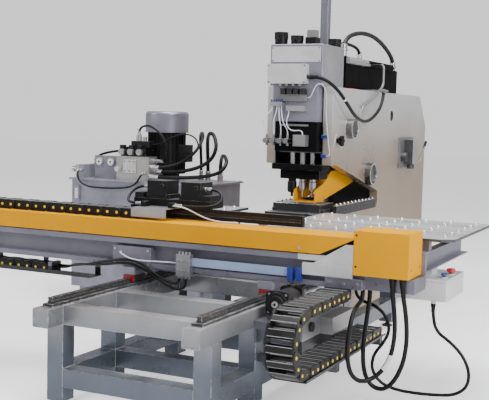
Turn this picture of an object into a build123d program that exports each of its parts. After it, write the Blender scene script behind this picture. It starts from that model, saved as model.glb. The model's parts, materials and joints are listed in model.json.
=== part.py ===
from build123d import *
import math
import os

os.makedirs("parts", exist_ok=True)

# A hydraulic plate punch: a press frame with three punches at the rear, a welded bed with
# two rails in front of it, and a gantry that carries the tables and feeds the plate.
# All sizes are in millimetres. The origin is on the floor, in the middle plane of the
# press frame. X is to the right, Y is away from the operator and Z is up.

# Clearances
running_gap = 0.4
clear_gap = 2.0

# Bed: square tubes, two rails and the feet
tube = 100
tube_corner = 8
tube_cap_recess = 2
rail_spacing = 880
bed_front = -2540
bed_rear = 600
rail_top = 600
rail_height = 31
rail_width = 30
rail_waist = 22
rail_end_margin = 80
strip_height = 14
strip_width = 65
foot_height = 40
foot_pad_height = 12
foot_radius = 38
stud_radius = 11
lower_tube_bottom = 120
ring_fronts = (-2415, -1920, -1200, -560, 500)
rings_with_cross_tubes = 4

tube_top = rail_top - rail_height - strip_height
tube_bottom = tube_top - tube
rail_x = rail_spacing / 2
bed_half_width = rail_x + tube / 2

# Press frame: two thick side plates with a hollow core between them, like a letter C
frame_half_width = 245
side_plate = 70
core_wall = 30
front_recess = 25
base_half_width = 310
base_height = 50
base_front = -400
base_rear = 1120
rear_foot_length = 320
frame_front = -245
arm_front = -350
frame_rear = 2110
frame_top = 1780
rear_chamfer_y = 210
rear_chamfer_z = 260
throat_floor = 880
throat_depth = 800
throat_back_top = 1010
throat_front_top = 1240
throat_slope_start = -140
throat_corner = 40
jaw_channel_top = 1320
boss_places = ((85, 1493, 71), (538, 1152, 84))
boss_length = 50
boss_rim = 12
knob_y = -165
knob_z = 1410

# Punch line and dies
punch_y = -160
punch_pitch = 78
pass_line = 966
slab_height = 25
slab_half_width = 205
slab_front = -340
slab_rear = 250
die_half_width = 172
die_front = -245
die_rear = 20
die_radius = 31
die_bore = 12
ball_bar_height = 70
ball_bar_width = 32
ball_bar_front = -110
ball_bar_rear = 755
ball_bar_count = 11
ball_radius = 11

# Head: the upper block stands on the press frame, the lower one hangs between its plates
head_half_width = 195
head_front = -335
head_rear = 80
head_top = 2065
lower_head_half_width = 165
lower_head_rear = -105
tool_body_bottom = 1330
tool_body_top = 1535
tool_body_front = -320
fitting_y = -368
fitting_top = 1446
tool_body_rear = -205
caps = ((-143, -272, 48, 86), (-26, -266, 45, 62), (142, 22, 46, 60))
cap_ribs = 16
stem_radius = 23
stem_top = 1460
guide_plate_height = 40
guide_plate_half_width = 192
guide_plate_front = -275
tool_plate_height = 66
tool_plate_half_width = 148
tool_plate_front = -215
holder_radii = (33, 26, 26)
holder_bottoms = (1036, 1052, 1052)
tip_radius = 9
tip_end = 1006

# Junction box on the head, the valve row and tube fittings below it
junction_depth = 62
junction_bottom = 1795
junction_top = 1925
junction_right = 98
junction_lid = 5
gland_pitch = 48
gland_y = -365
gland_radius = 10
conduit_gland_z = 1842
valve_row = (-96, 96)
valve_rail_z = (1676, 1722)
valve_width = 34
valve_top = 1762
tube_block_z = (1640, 1668)
tube_fitting_pitch = 18

# Hold-down: a yellow lever that rises into the channel of the upper jaw
fork_left = -42
fork_right = 122
fork_front = -215
fork_rear = -105
fork_bottom = 974
fork_foot = 10
fork_web = 8
hold_down_pivot_y = 680
hold_down_pivot_z = 1150
hold_down_pin = 16

# Gantry: saddle, carriages, beam and tables
block_length = 110
block_half_width = 35
block_top = 620
block_cap = 12
front_block_y = -1655
rear_block_y = -760
saddle_top = 665
saddle_half_width = 42
saddle_front = -1720
saddle_rear = -690
beam_left = -1660
beam_front = -1690
beam_rear = -1470
beam_right = 937
beam_end_plate = 12
extension_right = 1262
extension_top = 738
beam_top = 900
channel_top = 800
channel_bottom = 694
channel_depth = 38
valve_block_x = (-112, -22)
valve_block_z = (643, 770)
valve_block_depth = 44
valve_port_pitch = 22
valve_port_end = 630
cover_left = -1660
cover_front = -1700
cover_rear = -1460
cover_bottom = 838
cover_top = 938
cover_sheet = 3
cover_right = 936
cover_cut_length = 190
box_right = 1240
box_bottom = 743
box_top = 978
table_top = 932
table_sheet = 16
table_front = -1410
table_rear = -440
left_table_inner = -282
right_table_inner = 290
right_table_end = 1390
left_table_end = -720
corner_cut_x = 65
corner_cut_y = 55
rear_corner_cut = 20
arm_places = (-650, -355, 355, 1235)
upright_ys = (-1290, -830)
arm_bottom = 750
arm_top = 860
arm_width = 50
arm_wall = 7
ball_cup_radius = 16
ball_cup_height = 3
ball_rise = 9
ball_pitch = 150
ball_margin = 75
ball_margin_front = 130

# X rails, X screw and the clamp carriage
x_rail_zs = (720, 858)
x_rail_width = 20
x_rail_height = 18
x_screw_z = 788
x_screw_y = -1510
x_screw_radius = 12
x_nut_radius = 24
screw_pocket_half = 30
screw_pocket_depth = 72
x_block_half = 22
carriage_left = -576
carriage_right = -45
carriage_front = -1440
carriage_plate = 20
bar_left = -600
bar_right = 545
bar_front = -1455
bar_depth = 34
bar_bottom = 944
bar_top = 1007
clamp_xs = (-420, -184)
clamp_body = 132
clamp_body_top = 1160
clamp_base_top = 1085
clamp_rear = -1290
jaw_half_width = 45
jaw_rear = -1315
jaw_thickness = 16

# Y drive: servo motor on a bracket, ball screw beside the bed
y_drive_x = 600
y_drive_z = 588
motor_size = 130
motor_length = 230
motor_front = -1920
y_screw_rear = 45
y_screw_radius = 16
y_nut_y = -1165
y_nut_radius = 30
y_nut_length = 90
bracket_front = -1945
bracket_length = 330
bracket_height = 120
bracket_reach = 180
bracket_plate = 12

# Cable chains: pitch, link height and width, bend radius from the number of links
link_pitch = 66.8
link_height = 58
link_plate = 6
link_bar = 14
link_bar_height = 6
y_chain_right = 930
y_chain_width = 156
y_chain_lower_z = 335
y_chain_bend_y = -2270
y_chain_bend_links = 7
y_chain_upper_links = 9
y_chain_lower_links = 17
x_chain_front = -1620
x_chain_width = 116
x_chain_upper_z = 969
x_chain_bend_x = -1930
x_chain_bend_links = 9
x_chain_upper_links = 22
x_chain_lower_links = 12
tray_sheet = 3
tray_lip = 22

y_chain_upper_z = y_chain_lower_z + link_pitch / math.sin(math.radians(90 / y_chain_bend_links))
x_chain_lower_z = x_chain_upper_z - link_pitch / math.sin(math.radians(90 / x_chain_bend_links))

# Control box
control_left = 1080
control_right = 1372
control_front = -1430
control_rear = -1040
control_bottom = 600
control_top = 716
button_travel = 5

# Hydraulic power unit
tank_left = -2190
tank_right = -930
tank_front = 100
tank_rear = 760
tank_bottom = 120
tank_top = 1010
tank_lid = 14
tank_corner = 30
manifold_right = -1467
manifold_top = 1220
port_reach = 30
port_end = manifold_right + port_reach
port_outer = (230, 1100)
port_inner = (178, 1062)
port_return = (180, 1140)
port_rear = (250, 1185)
return_stubs = ((-1250, 640), (-1170, 610), (-1070, 640))
stub_top = tank_top + tank_lid + 30
motor_x = -1477
motor_y = 450
motor_radius = 158
motor_bottom = 1080
motor_top = 1430
fin_count = 28
fin_height = 14
cowl_radius = 178
cowl_top = 1590

# Height post and booster on the press frame
post_size = 60
post_top = 2720
booster_x = (-110, 120)
booster_front = 330
booster_step = 1180
booster_rear = 1600
booster_top = 2030
booster_low_top = 1985
booster_plate = 14
booster_pipe_x = 128
booster_pipe_z = 2000
port_inset = 40
long_port_front = (90, booster_front + 22)
long_port_rear = (90, booster_rear - port_inset)
long_port_top = booster_top + 40
long_port_rear_top = booster_low_top + 27
short_port_front = (20, booster_front + 50)
short_port_rear = (20, booster_step - 280)
short_port_top = booster_top + 20
conduit_clip = (300, 690, 1768)


def middle(pair):
    """Half way between the two values of a pair."""
    return (pair[0] + pair[1]) / 2


def block(x, y, z, mode=Mode.ADD):
    """A plain block in the open part, from its (low, high) pairs along X, Y and Z."""
    with Locations((middle(x), middle(y), middle(z))):
        Box(x[1] - x[0], y[1] - y[0], z[1] - z[0], mode=mode)


def rod(start, end, radius, mode=Mode.ADD):
    """A round bar in the open part, from the middle of one end to the other."""
    axis = Vector(*end) - Vector(*start)
    centre = (Vector(*start) + Vector(*end)) * 0.5
    with Locations(Plane(origin=centre, z_dir=axis).location):
        Cylinder(radius, axis.length, mode=mode)


def finish(part, label):
    """Names a finished piece and writes it."""
    part.label = label
    export_step(part, f"parts/{label}.step")


def both_sides(value):
    """The value and its mirror image across the middle plane."""
    return (-value, value)


# Welded bed of square tubes: two long side tubes on legs, tied by cross tubes
with BuildPart() as bed_frame:
    with BuildSketch(Plane.XZ.offset(-bed_rear)):
        with Locations(*[(x, tube_top - tube / 2) for x in both_sides(rail_x)]):
            RectangleRounded(tube, tube, tube_corner)
    extrude(amount=bed_rear - bed_front)
    with BuildSketch(Plane.XZ.offset(-bed_front)):
        with Locations(*[(x, tube_top - tube / 2) for x in both_sides(rail_x)]):
            Rectangle(tube - 2 * tube_corner, tube - 2 * tube_corner)
    extrude(amount=-tube_cap_recess, mode=Mode.SUBTRACT)
    # Ground strips that the rails are screwed to
    strip_front = bed_front + rail_end_margin - 20
    for x in both_sides(rail_x):
        block(
            (x - strip_width / 2, x + strip_width / 2),
            (strip_front, bed_rear - 20),
            (tube_top, tube_top + strip_height),
        )
    # Legs and the lower ring
    for front in ring_fronts:
        for x in both_sides(rail_x):
            block(
                (x - tube / 2, x + tube / 2), (front, front + tube), (foot_height, tube_bottom)
            )
    for x in both_sides(rail_x):
        block(
            (x - tube / 2, x + tube / 2),
            (ring_fronts[0] + tube, ring_fronts[-1]),
            (lower_tube_bottom, lower_tube_bottom + tube),
        )
    for front in ring_fronts[:rings_with_cross_tubes]:
        for bottom in (lower_tube_bottom, tube_bottom):
            block(
                (-rail_x, rail_x),
                (front, front + tube),
                (bottom, bottom + tube),
            )
    # Rear bearing block of the feed screw
    bearing_y = (y_screw_rear - 40, y_screw_rear - 5)
    block((bed_half_width - 1, y_drive_x + 42), bearing_y, (y_drive_z - 70, y_drive_z + 38))
    rod(
        (y_drive_x, bearing_y[0] - 1, y_drive_z),
        (y_drive_x, bearing_y[1] + 1, y_drive_z),
        y_screw_radius + running_gap,
        mode=Mode.SUBTRACT,
    )
finish(bed_frame.part, "bed_frame")

# Levelling feet: a pad, a stud and a nut under every leg
with BuildPart() as levelling_feet:
    feet = [(x, front + tube / 2) for front in ring_fronts for x in both_sides(rail_x)]
    with BuildSketch(Plane.XY):
        with Locations(*feet):
            Circle(foot_radius)
    extrude(amount=foot_pad_height)
    with BuildSketch(Plane.XY.offset(foot_pad_height)):
        with Locations(*feet):
            Circle(stud_radius)
    extrude(amount=foot_height - foot_pad_height)
    with BuildSketch(Plane.XY.offset(foot_pad_height)):
        with Locations(*feet):
            RegularPolygon(stud_radius * 1.8, 6)
    extrude(amount=stud_radius)
finish(levelling_feet.part, "levelling_feet")

# Profiled rails, with a waist that the carriages hook round
half_rail = rail_width / 2
half_waist = rail_waist / 2
rail_section = (
    (-half_rail, 0),
    (-half_rail, rail_height * 0.35),
    (-half_waist, rail_height * 0.5),
    (-half_waist, rail_height * 0.65),
    (-half_rail, rail_height * 0.8),
    (-half_rail, rail_height),
    (half_rail, rail_height),
    (half_rail, rail_height * 0.8),
    (half_waist, rail_height * 0.65),
    (half_waist, rail_height * 0.5),
    (half_rail, rail_height * 0.35),
    (half_rail, 0),
)
with BuildPart() as y_rails:
    with BuildSketch(Plane.XZ.offset(-(bed_rear - 50))):
        with Locations(*[(x, tube_top + strip_height) for x in both_sides(rail_x)]):
            Polygon(*rail_section, align=None)
    extrude(amount=bed_rear - 50 - (bed_front + rail_end_margin))
finish(y_rails.part, "y_rails")


def nearest(builder, *points):
    """The corners of the open sketch that lie nearest to the given points."""
    return [builder.vertices().sort_by_distance(Vector(*point))[0] for point in points]


def side_block(x, outline, mode=Mode.ADD):
    """A plate in the open part, from its (low, high) along X and its outline in Y and Z."""
    with BuildSketch(Plane.YZ.offset(x[0])) as plate:
        Polygon(*outline, align=None)
    extrude(plate.sketch, amount=x[1] - x[0], mode=mode)


# Press frame: side plates, core, base plates, bosses, lugs and the tall post
plate_outline = (
    (arm_front, base_height),
    (arm_front, throat_floor),
    (throat_depth, throat_floor),
    (throat_depth, throat_back_top),
    (throat_slope_start, throat_front_top),
    (frame_front, throat_front_top),
    (frame_front, frame_top),
    (frame_rear - rear_chamfer_y, frame_top),
    (frame_rear, frame_top - rear_chamfer_z),
    (frame_rear, base_height),
)
core_outline = (
    (arm_front + front_recess, base_height),
    (arm_front + front_recess, throat_floor),
    (throat_depth + front_recess, throat_floor),
    (throat_depth + front_recess, jaw_channel_top),
    (lower_head_rear, jaw_channel_top),
    (lower_head_rear, frame_top),
    (frame_rear - rear_chamfer_y, frame_top),
    (frame_rear - front_recess, frame_top - rear_chamfer_z),
    (frame_rear - front_recess, base_height),
)
inner_half = frame_half_width - side_plate
with BuildPart() as c_frame:
    with BuildSketch(Plane.YZ.offset(inner_half)) as plate_face:
        Polygon(*plate_outline, align=None)
        fillet(nearest(plate_face, (throat_depth, throat_floor)), throat_corner)
        fillet(nearest(plate_face, (throat_depth, throat_back_top)), throat_corner)
    extrude(amount=side_plate)
    mirror(about=Plane.YZ)
    with BuildSketch(Plane.YZ.offset(-inner_half)) as core_face:
        Polygon(*core_outline, align=None)
    extrude(amount=2 * inner_half)
    with BuildSketch(Plane.YZ.offset(-inner_half)):
        add(core_face.sketch)
        offset(amount=-core_wall, mode=Mode.REPLACE, kind=Kind.INTERSECTION)
    extrude(amount=2 * inner_half, mode=Mode.SUBTRACT)
    # Base plates on the floor
    base_x = both_sides(base_half_width)
    block(base_x, (base_front, base_rear), (0, base_height))
    block(base_x, (frame_rear - rear_foot_length, frame_rear + 30), (0, base_height))
    # Round bosses on the outer faces, with a raised rim
    for side in both_sides(1):
        for y, z, radius in boss_places:
            face = Plane(
                origin=(side * frame_half_width, y, z), x_dir=(0, 1, 0), z_dir=(side, 0, 0)
            )
            with BuildSketch(face):
                Circle(radius)
            extrude(amount=boss_length)
            with BuildSketch(face.offset(boss_length)):
                Circle(radius - boss_rim)
            extrude(amount=-boss_rim, mode=Mode.SUBTRACT)
    # Lifting holes near the rear top corner, and lifting lugs further forward
    for side in both_sides(frame_half_width):
        rod((side * 0.9, 1094, 1599), (side * 1.05, 1094, 1599), 42, mode=Mode.SUBTRACT)
        block(
            (min(side, side * 1.14), max(side, side * 1.14)), (228, 262), (1555, 1640)
        )
    # Tall square post behind the head
    with BuildSketch(Plane.XY.offset(frame_top)):
        with Locations((0, 190)):
            RectangleRounded(post_size, post_size, 5)
    extrude(amount=post_top - frame_top)
    # Oval pad under the hand knob, and two tube clips on the front edge
    with BuildSketch(Plane.YZ.offset(frame_half_width)):
        with Locations(Location((knob_y, knob_z, 0), (0, 0, 60))):
            Ellipse(52, 30)
    extrude(amount=8)
    for z in (1292, 1424):
        block((172, 212), (frame_front - 18, frame_front), (z, z + 24))
    # Lugs for the hold-down lever inside the upper jaw
    for x in ((fork_left - 32, fork_left - clear_gap), (fork_right + clear_gap, 154)):
        block(
            x,
            (hold_down_pivot_y - 40, hold_down_pivot_y + 40),
            (hold_down_pivot_z - 30, jaw_channel_top),
        )
    rod(
        (fork_left - 30, hold_down_pivot_y, hold_down_pivot_z),
        (fork_right + 30, hold_down_pivot_y, hold_down_pivot_z),
        hold_down_pin,
    )
finish(c_frame.part, "c_frame")

# Ball bars on both sides of the throat floor
with BuildPart() as throat_ball_bars:
    for side in both_sides(frame_half_width - ball_bar_width / 2):
        block(
            (side - ball_bar_width / 2, side + ball_bar_width / 2),
            (ball_bar_front, ball_bar_rear),
            (throat_floor, throat_floor + ball_bar_height),
        )
        step = (ball_bar_rear - ball_bar_front) / ball_bar_count
        spots = [(side, ball_bar_front + (i + 0.5) * step) for i in range(ball_bar_count)]
        with BuildSketch(Plane.XY.offset(throat_floor + ball_bar_height)):
            with Locations(*spots):
                Circle(ball_radius)
        extrude(amount=pass_line - throat_floor - ball_bar_height, taper=24)
        hole_x = both_sides(frame_half_width)[0 if side < 0 else 1]
        with BuildSketch(Plane.YZ.offset(hole_x)):
            with Locations(*[(y, throat_floor + ball_bar_height * 0.45) for x, y in spots]):
                Circle(7)
        extrude(amount=-9 if side > 0 else 9, mode=Mode.SUBTRACT)
finish(throat_ball_bars.part, "throat_ball_bars")

# Die block on its slab, with three dies let into the top
punch_xs = [(i - 1) * punch_pitch for i in range(3)]
with BuildPart() as die_block:
    slab_top = throat_floor + slab_height
    block(both_sides(slab_half_width), (slab_front, slab_rear), (throat_floor, slab_top))
    block(both_sides(die_half_width), (die_front, die_rear), (slab_top, pass_line - 3))
    chamfer(faces().sort_by(Axis.Z)[-1].edges(), 3)
    with BuildSketch(Plane.XY.offset(pass_line - 3)):
        with Locations(*[(x, punch_y) for x in punch_xs]):
            Circle(die_radius)
    extrude(amount=3)
    with BuildSketch(Plane.XY.offset(pass_line)):
        with Locations(*[(x, punch_y) for x in punch_xs]):
            Circle(die_bore)
    extrude(amount=throat_floor - pass_line, mode=Mode.SUBTRACT)
    for x in both_sides(die_half_width - 25):
        for y in (die_front + 25, die_rear - 25):
            with Locations((x, y, pass_line - 3)):
                CounterBoreHole(7, 11, 8, depth=30)
    # Clamp strips along the sides of the block
    for side in both_sides(die_half_width + 12):
        block((side - 12, side + 12), (die_front + 10, die_rear - 10), (slab_top, slab_top + 22))
finish(die_block.part, "die_block")

# Head: the upper block with its plates and the lower block between the side plates
with BuildPart() as head_housing:
    block(both_sides(head_half_width), (head_front, head_rear), (frame_top, head_top))
    fillet(edges().filter_by(Axis.Z), 8)
    chamfer(faces().sort_by(Axis.Z)[-1].edges(), 4)
    side_block(
        both_sides(lower_head_half_width),
        (
            (head_front, frame_top),
            (head_front, tool_body_top + clear_gap),
            (tool_body_rear, tool_body_top + clear_gap),
            (tool_body_rear, tool_body_bottom - 10),
            (lower_head_rear, tool_body_bottom - 10),
            (lower_head_rear, frame_top),
        ),
    )
    # Bare front plate and the shoulder bar on the left
    block(
        (-head_half_width + 14, head_half_width - 16),
        (head_front - 3, head_front),
        (head_top - 122, head_top - 18),
    )
    block((-head_half_width - 26, -head_half_width + 4), (-250, -160), (1790, 1850))
    # Bores for the three punch stems
    for x in punch_xs:
        rod(
            (x, punch_y, 1200),
            (x, punch_y, stem_top + 15),
            stem_radius + running_gap,
            mode=Mode.SUBTRACT,
        )
finish(head_housing.part, "head_housing")

# Ribbed cylinder caps on top of the head
with BuildPart() as cylinder_caps:
    for x, y, radius, height in caps:
        with BuildSketch(Plane.XY.offset(head_top)):
            with Locations((x, y)):
                Circle(radius - 3)
        extrude(amount=height)
        with BuildSketch(Plane.XY.offset(head_top + height * 0.45)):
            with Locations((x, y)):
                Circle(radius)
                with PolarLocations(radius, cap_ribs):
                    Circle(3.4, mode=Mode.SUBTRACT)
        extrude(amount=height * 0.55)
    # Oil block with a valve body on top, between the caps
    block((50, 128), (-305, -225), (head_top, head_top + 48))
    block((58, 120), (-296, -234), (head_top + 48, head_top + 98))
finish(cylinder_caps.part, "cylinder_caps")

# Junction box on the front of the head, with a row of cable glands underneath
with BuildPart() as head_junction_box:
    box_x = (-head_half_width + 14, junction_right)
    box_y = (head_front - junction_depth, head_front)
    box_z = (junction_bottom, junction_top)
    block(box_x, box_y, box_z)
    fillet(edges().filter_by(Axis.Y), 5)
    block(
        (box_x[0] - 2, box_x[1] + 2),
        (box_y[0] - junction_lid, box_y[0]),
        (box_z[0] - 2, box_z[1] + 2),
    )
    for i in range(4):
        gland_x = -100 + i * gland_pitch
        rod((gland_x, gland_y, box_z[0] - 16), (gland_x, gland_y, box_z[0]), gland_radius)
    conduit_gland_end = junction_right + 26
    rod((junction_right, gland_y, conduit_gland_z), (conduit_gland_end, gland_y, conduit_gland_z), 17)
    # Solenoid valve row below the box, and the tube fittings below that
    block(valve_row, (head_front - 26, head_front), valve_rail_z)
    for i in range(4):
        valve_left = valve_row[0] + 4 + i * gland_pitch
        valve_x = (valve_left, valve_left + valve_width)
        block(valve_x, (head_front - 48, head_front), (valve_rail_z[1], valve_top))
    block((-50, 88), (fitting_y - 8, head_front), (1608, 1644))
    block((-170, -78), (fitting_y - 12, head_front), tube_block_z)
    for i in range(5):
        tube_x = -160 + i * tube_fitting_pitch
        tube_top_z = tube_block_z[1] + 16
        rod((tube_x, fitting_y, tube_block_z[1]), (tube_x, fitting_y, tube_top_z), 6)
finish(head_junction_box.part, "head_junction_box")

# Black tool body across the front of the lower head, with air fittings on it
with BuildPart() as tool_body:
    block(
        (-lower_head_half_width + 12, lower_head_half_width),
        (tool_body_front, tool_body_rear),
        (tool_body_bottom, tool_body_top),
    )
    fillet(edges().filter_by(Axis.Z), 6)
    block((-110, 100), (tool_body_front - 10, tool_body_front), (1505, 1518))
    block((10, 102), (fitting_y - 12, tool_body_front), (1368, fitting_top))
    for i in range(4):
        x = -190 + i * 52
        rod((x, fitting_y - 34, 1402), (x, tool_body_front, 1402), 18)
        rod((x, fitting_y, 1368), (x, fitting_y, fitting_top), 9)
    block((-200, -20), (fitting_y - 8, fitting_y + 8), (1392, 1412))
finish(tool_body.part, "tool_body")

# Guide plate and tool plate below the press frame, bored for the stems
with BuildPart() as ram_plates:
    plate_top = throat_front_top
    guide_z = (plate_top - guide_plate_height, plate_top)
    block(both_sides(guide_plate_half_width), (guide_plate_front, throat_slope_start - 2), guide_z)
    fillet(edges().filter_by(Axis.Z), 10)
    block(both_sides(inner_half - 5), (throat_slope_start - 60, -60), guide_z)
    tool_plate_top = plate_top - guide_plate_height
    block(
        (-tool_plate_half_width, tool_plate_half_width),
        (tool_plate_front, -60),
        (tool_plate_top - tool_plate_height, tool_plate_top),
    )
    for x in punch_xs:
        rod(
            (x, punch_y, plate_top + 1),
            (x, punch_y, tool_plate_top - tool_plate_height - 1),
            stem_radius + running_gap,
            mode=Mode.SUBTRACT,
        )
finish(ram_plates.part, "ram_plates")


def punch(x, holder_radius, holder_bottom):
    """A punch in the open part: stem, holder, collar and tip, turned about its axis."""
    top = tool_plate_top - tool_plate_height - clear_gap
    with BuildSketch(Plane.XZ.offset(-punch_y)) as profile:
        with Locations((x, 0)):
            Polygon(
                (0, stem_top),
                (stem_radius, stem_top),
                (stem_radius, top),
                (holder_radius - 5, top),
                (holder_radius - 5, top - 18),
                (holder_radius, top - 22),
                (holder_radius, holder_bottom + 14),
                (holder_radius - 5, holder_bottom),
                (tip_radius + 3, holder_bottom),
                (tip_radius, holder_bottom - 8),
                (tip_radius, tip_end),
                (0, tip_end),
                align=None,
            )
    revolve(profile.sketch, axis=Axis((x, punch_y, 0), (0, 0, 1)))


with BuildPart() as punch_left:
    punch(punch_xs[0], holder_radii[0], holder_bottoms[0])
finish(punch_left.part, "punch_left")
with BuildPart() as punch_middle:
    punch(punch_xs[1], holder_radii[1], holder_bottoms[1])
finish(punch_middle.part, "punch_middle")
with BuildPart() as punch_right:
    punch(punch_xs[2], holder_radii[2], holder_bottoms[2])
finish(punch_right.part, "punch_right")

# Hold-down lever: two webs, a sloping top sheet, a hub and the foot under the punches
with BuildPart() as hold_down:
    lever_outline = (
        (fork_front, fork_bottom),
        (fork_rear, fork_bottom),
        (480, 1070),
        (hold_down_pivot_y + 26, hold_down_pivot_z - 30),
        (hold_down_pivot_y + 26, hold_down_pivot_z + 30),
        (hold_down_pivot_y - 60, 1190),
        (80, 1185),
        (-40, 1105),
        (fork_front, 1060),
    )
    for x in ((fork_left, fork_left + fork_web), (fork_right - fork_web, fork_right)):
        side_block(x, lever_outline)
    side_block(
        (fork_left, fork_right),
        ((-40, 1105), (80, 1185), (hold_down_pivot_y - 60, 1190), (600, 1178), (85, 1173), (-33, 1096)),
    )
    foot_z = (fork_bottom, fork_bottom + fork_foot)
    block((fork_left, fork_right), (fork_front, fork_rear), foot_z)
    for x in punch_xs[1:]:
        rod((x, punch_y, fork_bottom - 1), (x, punch_y, fork_bottom + 20), 15, mode=Mode.SUBTRACT)
    pivot = (hold_down_pivot_y, hold_down_pivot_z)
    rod((fork_left, *pivot), (fork_right, *pivot), 28)
    rod((fork_left, *pivot), (fork_right, *pivot), hold_down_pin + running_gap, mode=Mode.SUBTRACT)
finish(hold_down.part, "hold_down")

# Intensifier on top of the press frame: two valve bodies, pipes and end fittings
with BuildPart() as booster_block:
    plate_z = (frame_top, frame_top + booster_plate)
    block(booster_x, (booster_front, booster_step), (plate_z[1], booster_top))
    chamfer(edges().filter_by(Axis.Y), 10)
    block(booster_x, (booster_step, booster_rear), (frame_top, booster_low_top))
    plate_x = (booster_x[0] - 20, booster_x[1] + 20)
    block(plate_x, (booster_front + 30, booster_step - 30), plate_z)
    pipe_ends = (booster_front, booster_rear - 200)
    rod(
        (booster_pipe_x, pipe_ends[0], booster_pipe_z),
        (booster_pipe_x, pipe_ends[1], booster_pipe_z),
        26,
    )
    rod((*long_port_front, booster_top), (*long_port_front, long_port_top), 22)
    rod((*long_port_rear, booster_low_top), (*long_port_rear, long_port_rear_top), 24)
    for port in (short_port_front, short_port_rear):
        rod((*port, booster_top), (*port, short_port_top), 18)
    # Bracket for the conduit, hanging over the edge of the side plate
    block((plate_x[1], 322), (670, 740), plate_z)
    rod(conduit_clip, (conduit_clip[0], 700.4, 1792.8), 17)
    with BuildLine() as pipe_path:
        FilletPolyline(
            (booster_pipe_x + 26, 790, booster_pipe_z),
            (262, 790, booster_pipe_z),
            (262, 790, 1830),
            (262, 585, 1733),
            (262, 330, 1656),
            (262, 296, 1610),
            radius=(40, 50, 120, 40),
        )
    with BuildSketch(Plane(origin=pipe_path.line @ 0, z_dir=pipe_path.line % 0)):
        Circle(9)
    sweep(path=pipe_path.line)
finish(booster_block.part, "booster_block")

# Lubrication pump on the side of the press frame, with a hand lever
pump_x = frame_half_width
pump_rear = 1575
lever_z = 1195
with BuildPart() as lube_pump:
    block((pump_x, pump_x + 14), (1300, 1700), (1170, 1425))
    block((pump_x + 14, pump_x + 90), (1430, pump_rear), (1200, 1405))
    fillet(edges().filter_by(Axis.X).group_by(Axis.Z)[-1], 8)
    rod((pump_x + 52, 1510, 1160), (pump_x + 52, 1510, 1200), 30)
    rod((pump_x + 14, 1370, 1260), (pump_x + 60, 1370, 1260), 38)
    rod((pump_x + 50, pump_rear - 1, lever_z + 22), (pump_x + 50, pump_rear + 25, lever_z + 22), 16)
finish(lube_pump.part, "lube_pump")

with BuildPart() as lube_lever:
    lever_hub = pump_rear + 25 + running_gap
    lever_knee = (pump_x + 62, 1730, 1212)
    lever_end = (pump_x + 98, 1752, 1345)
    rod((pump_x + 50, lever_hub, lever_z + 22), (pump_x + 50, lever_hub + 22, lever_z + 22), 15)
    rod((pump_x + 50, lever_hub + 16, lever_z + 22), lever_knee, 6)
    with Locations(lever_knee):
        Sphere(6)
    rod(lever_knee, lever_end, 6)
    rod((pump_x + 93, 1749, 1325), (pump_x + 111, 1759, 1392), 11)
finish(lube_lever.part, "lube_lever")

# Lobed hand knob on an oval pad near the front edge of the press frame
with BuildPart() as clamp_knob:
    knob_face = Plane(
        origin=(frame_half_width + 8 + running_gap, knob_y, knob_z), x_dir=(0, 1, 0), z_dir=(1, 0, 0)
    )
    with BuildSketch(knob_face):
        Circle(17)
    extrude(amount=22)
    with BuildSketch(knob_face.offset(20)):
        Circle(22)
        with PolarLocations(24, 5):
            Circle(13)
    extrude(amount=26)
    fillet(faces().sort_by(Axis.X)[-1].edges(), 4)
finish(clamp_knob.part, "clamp_knob")

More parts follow.
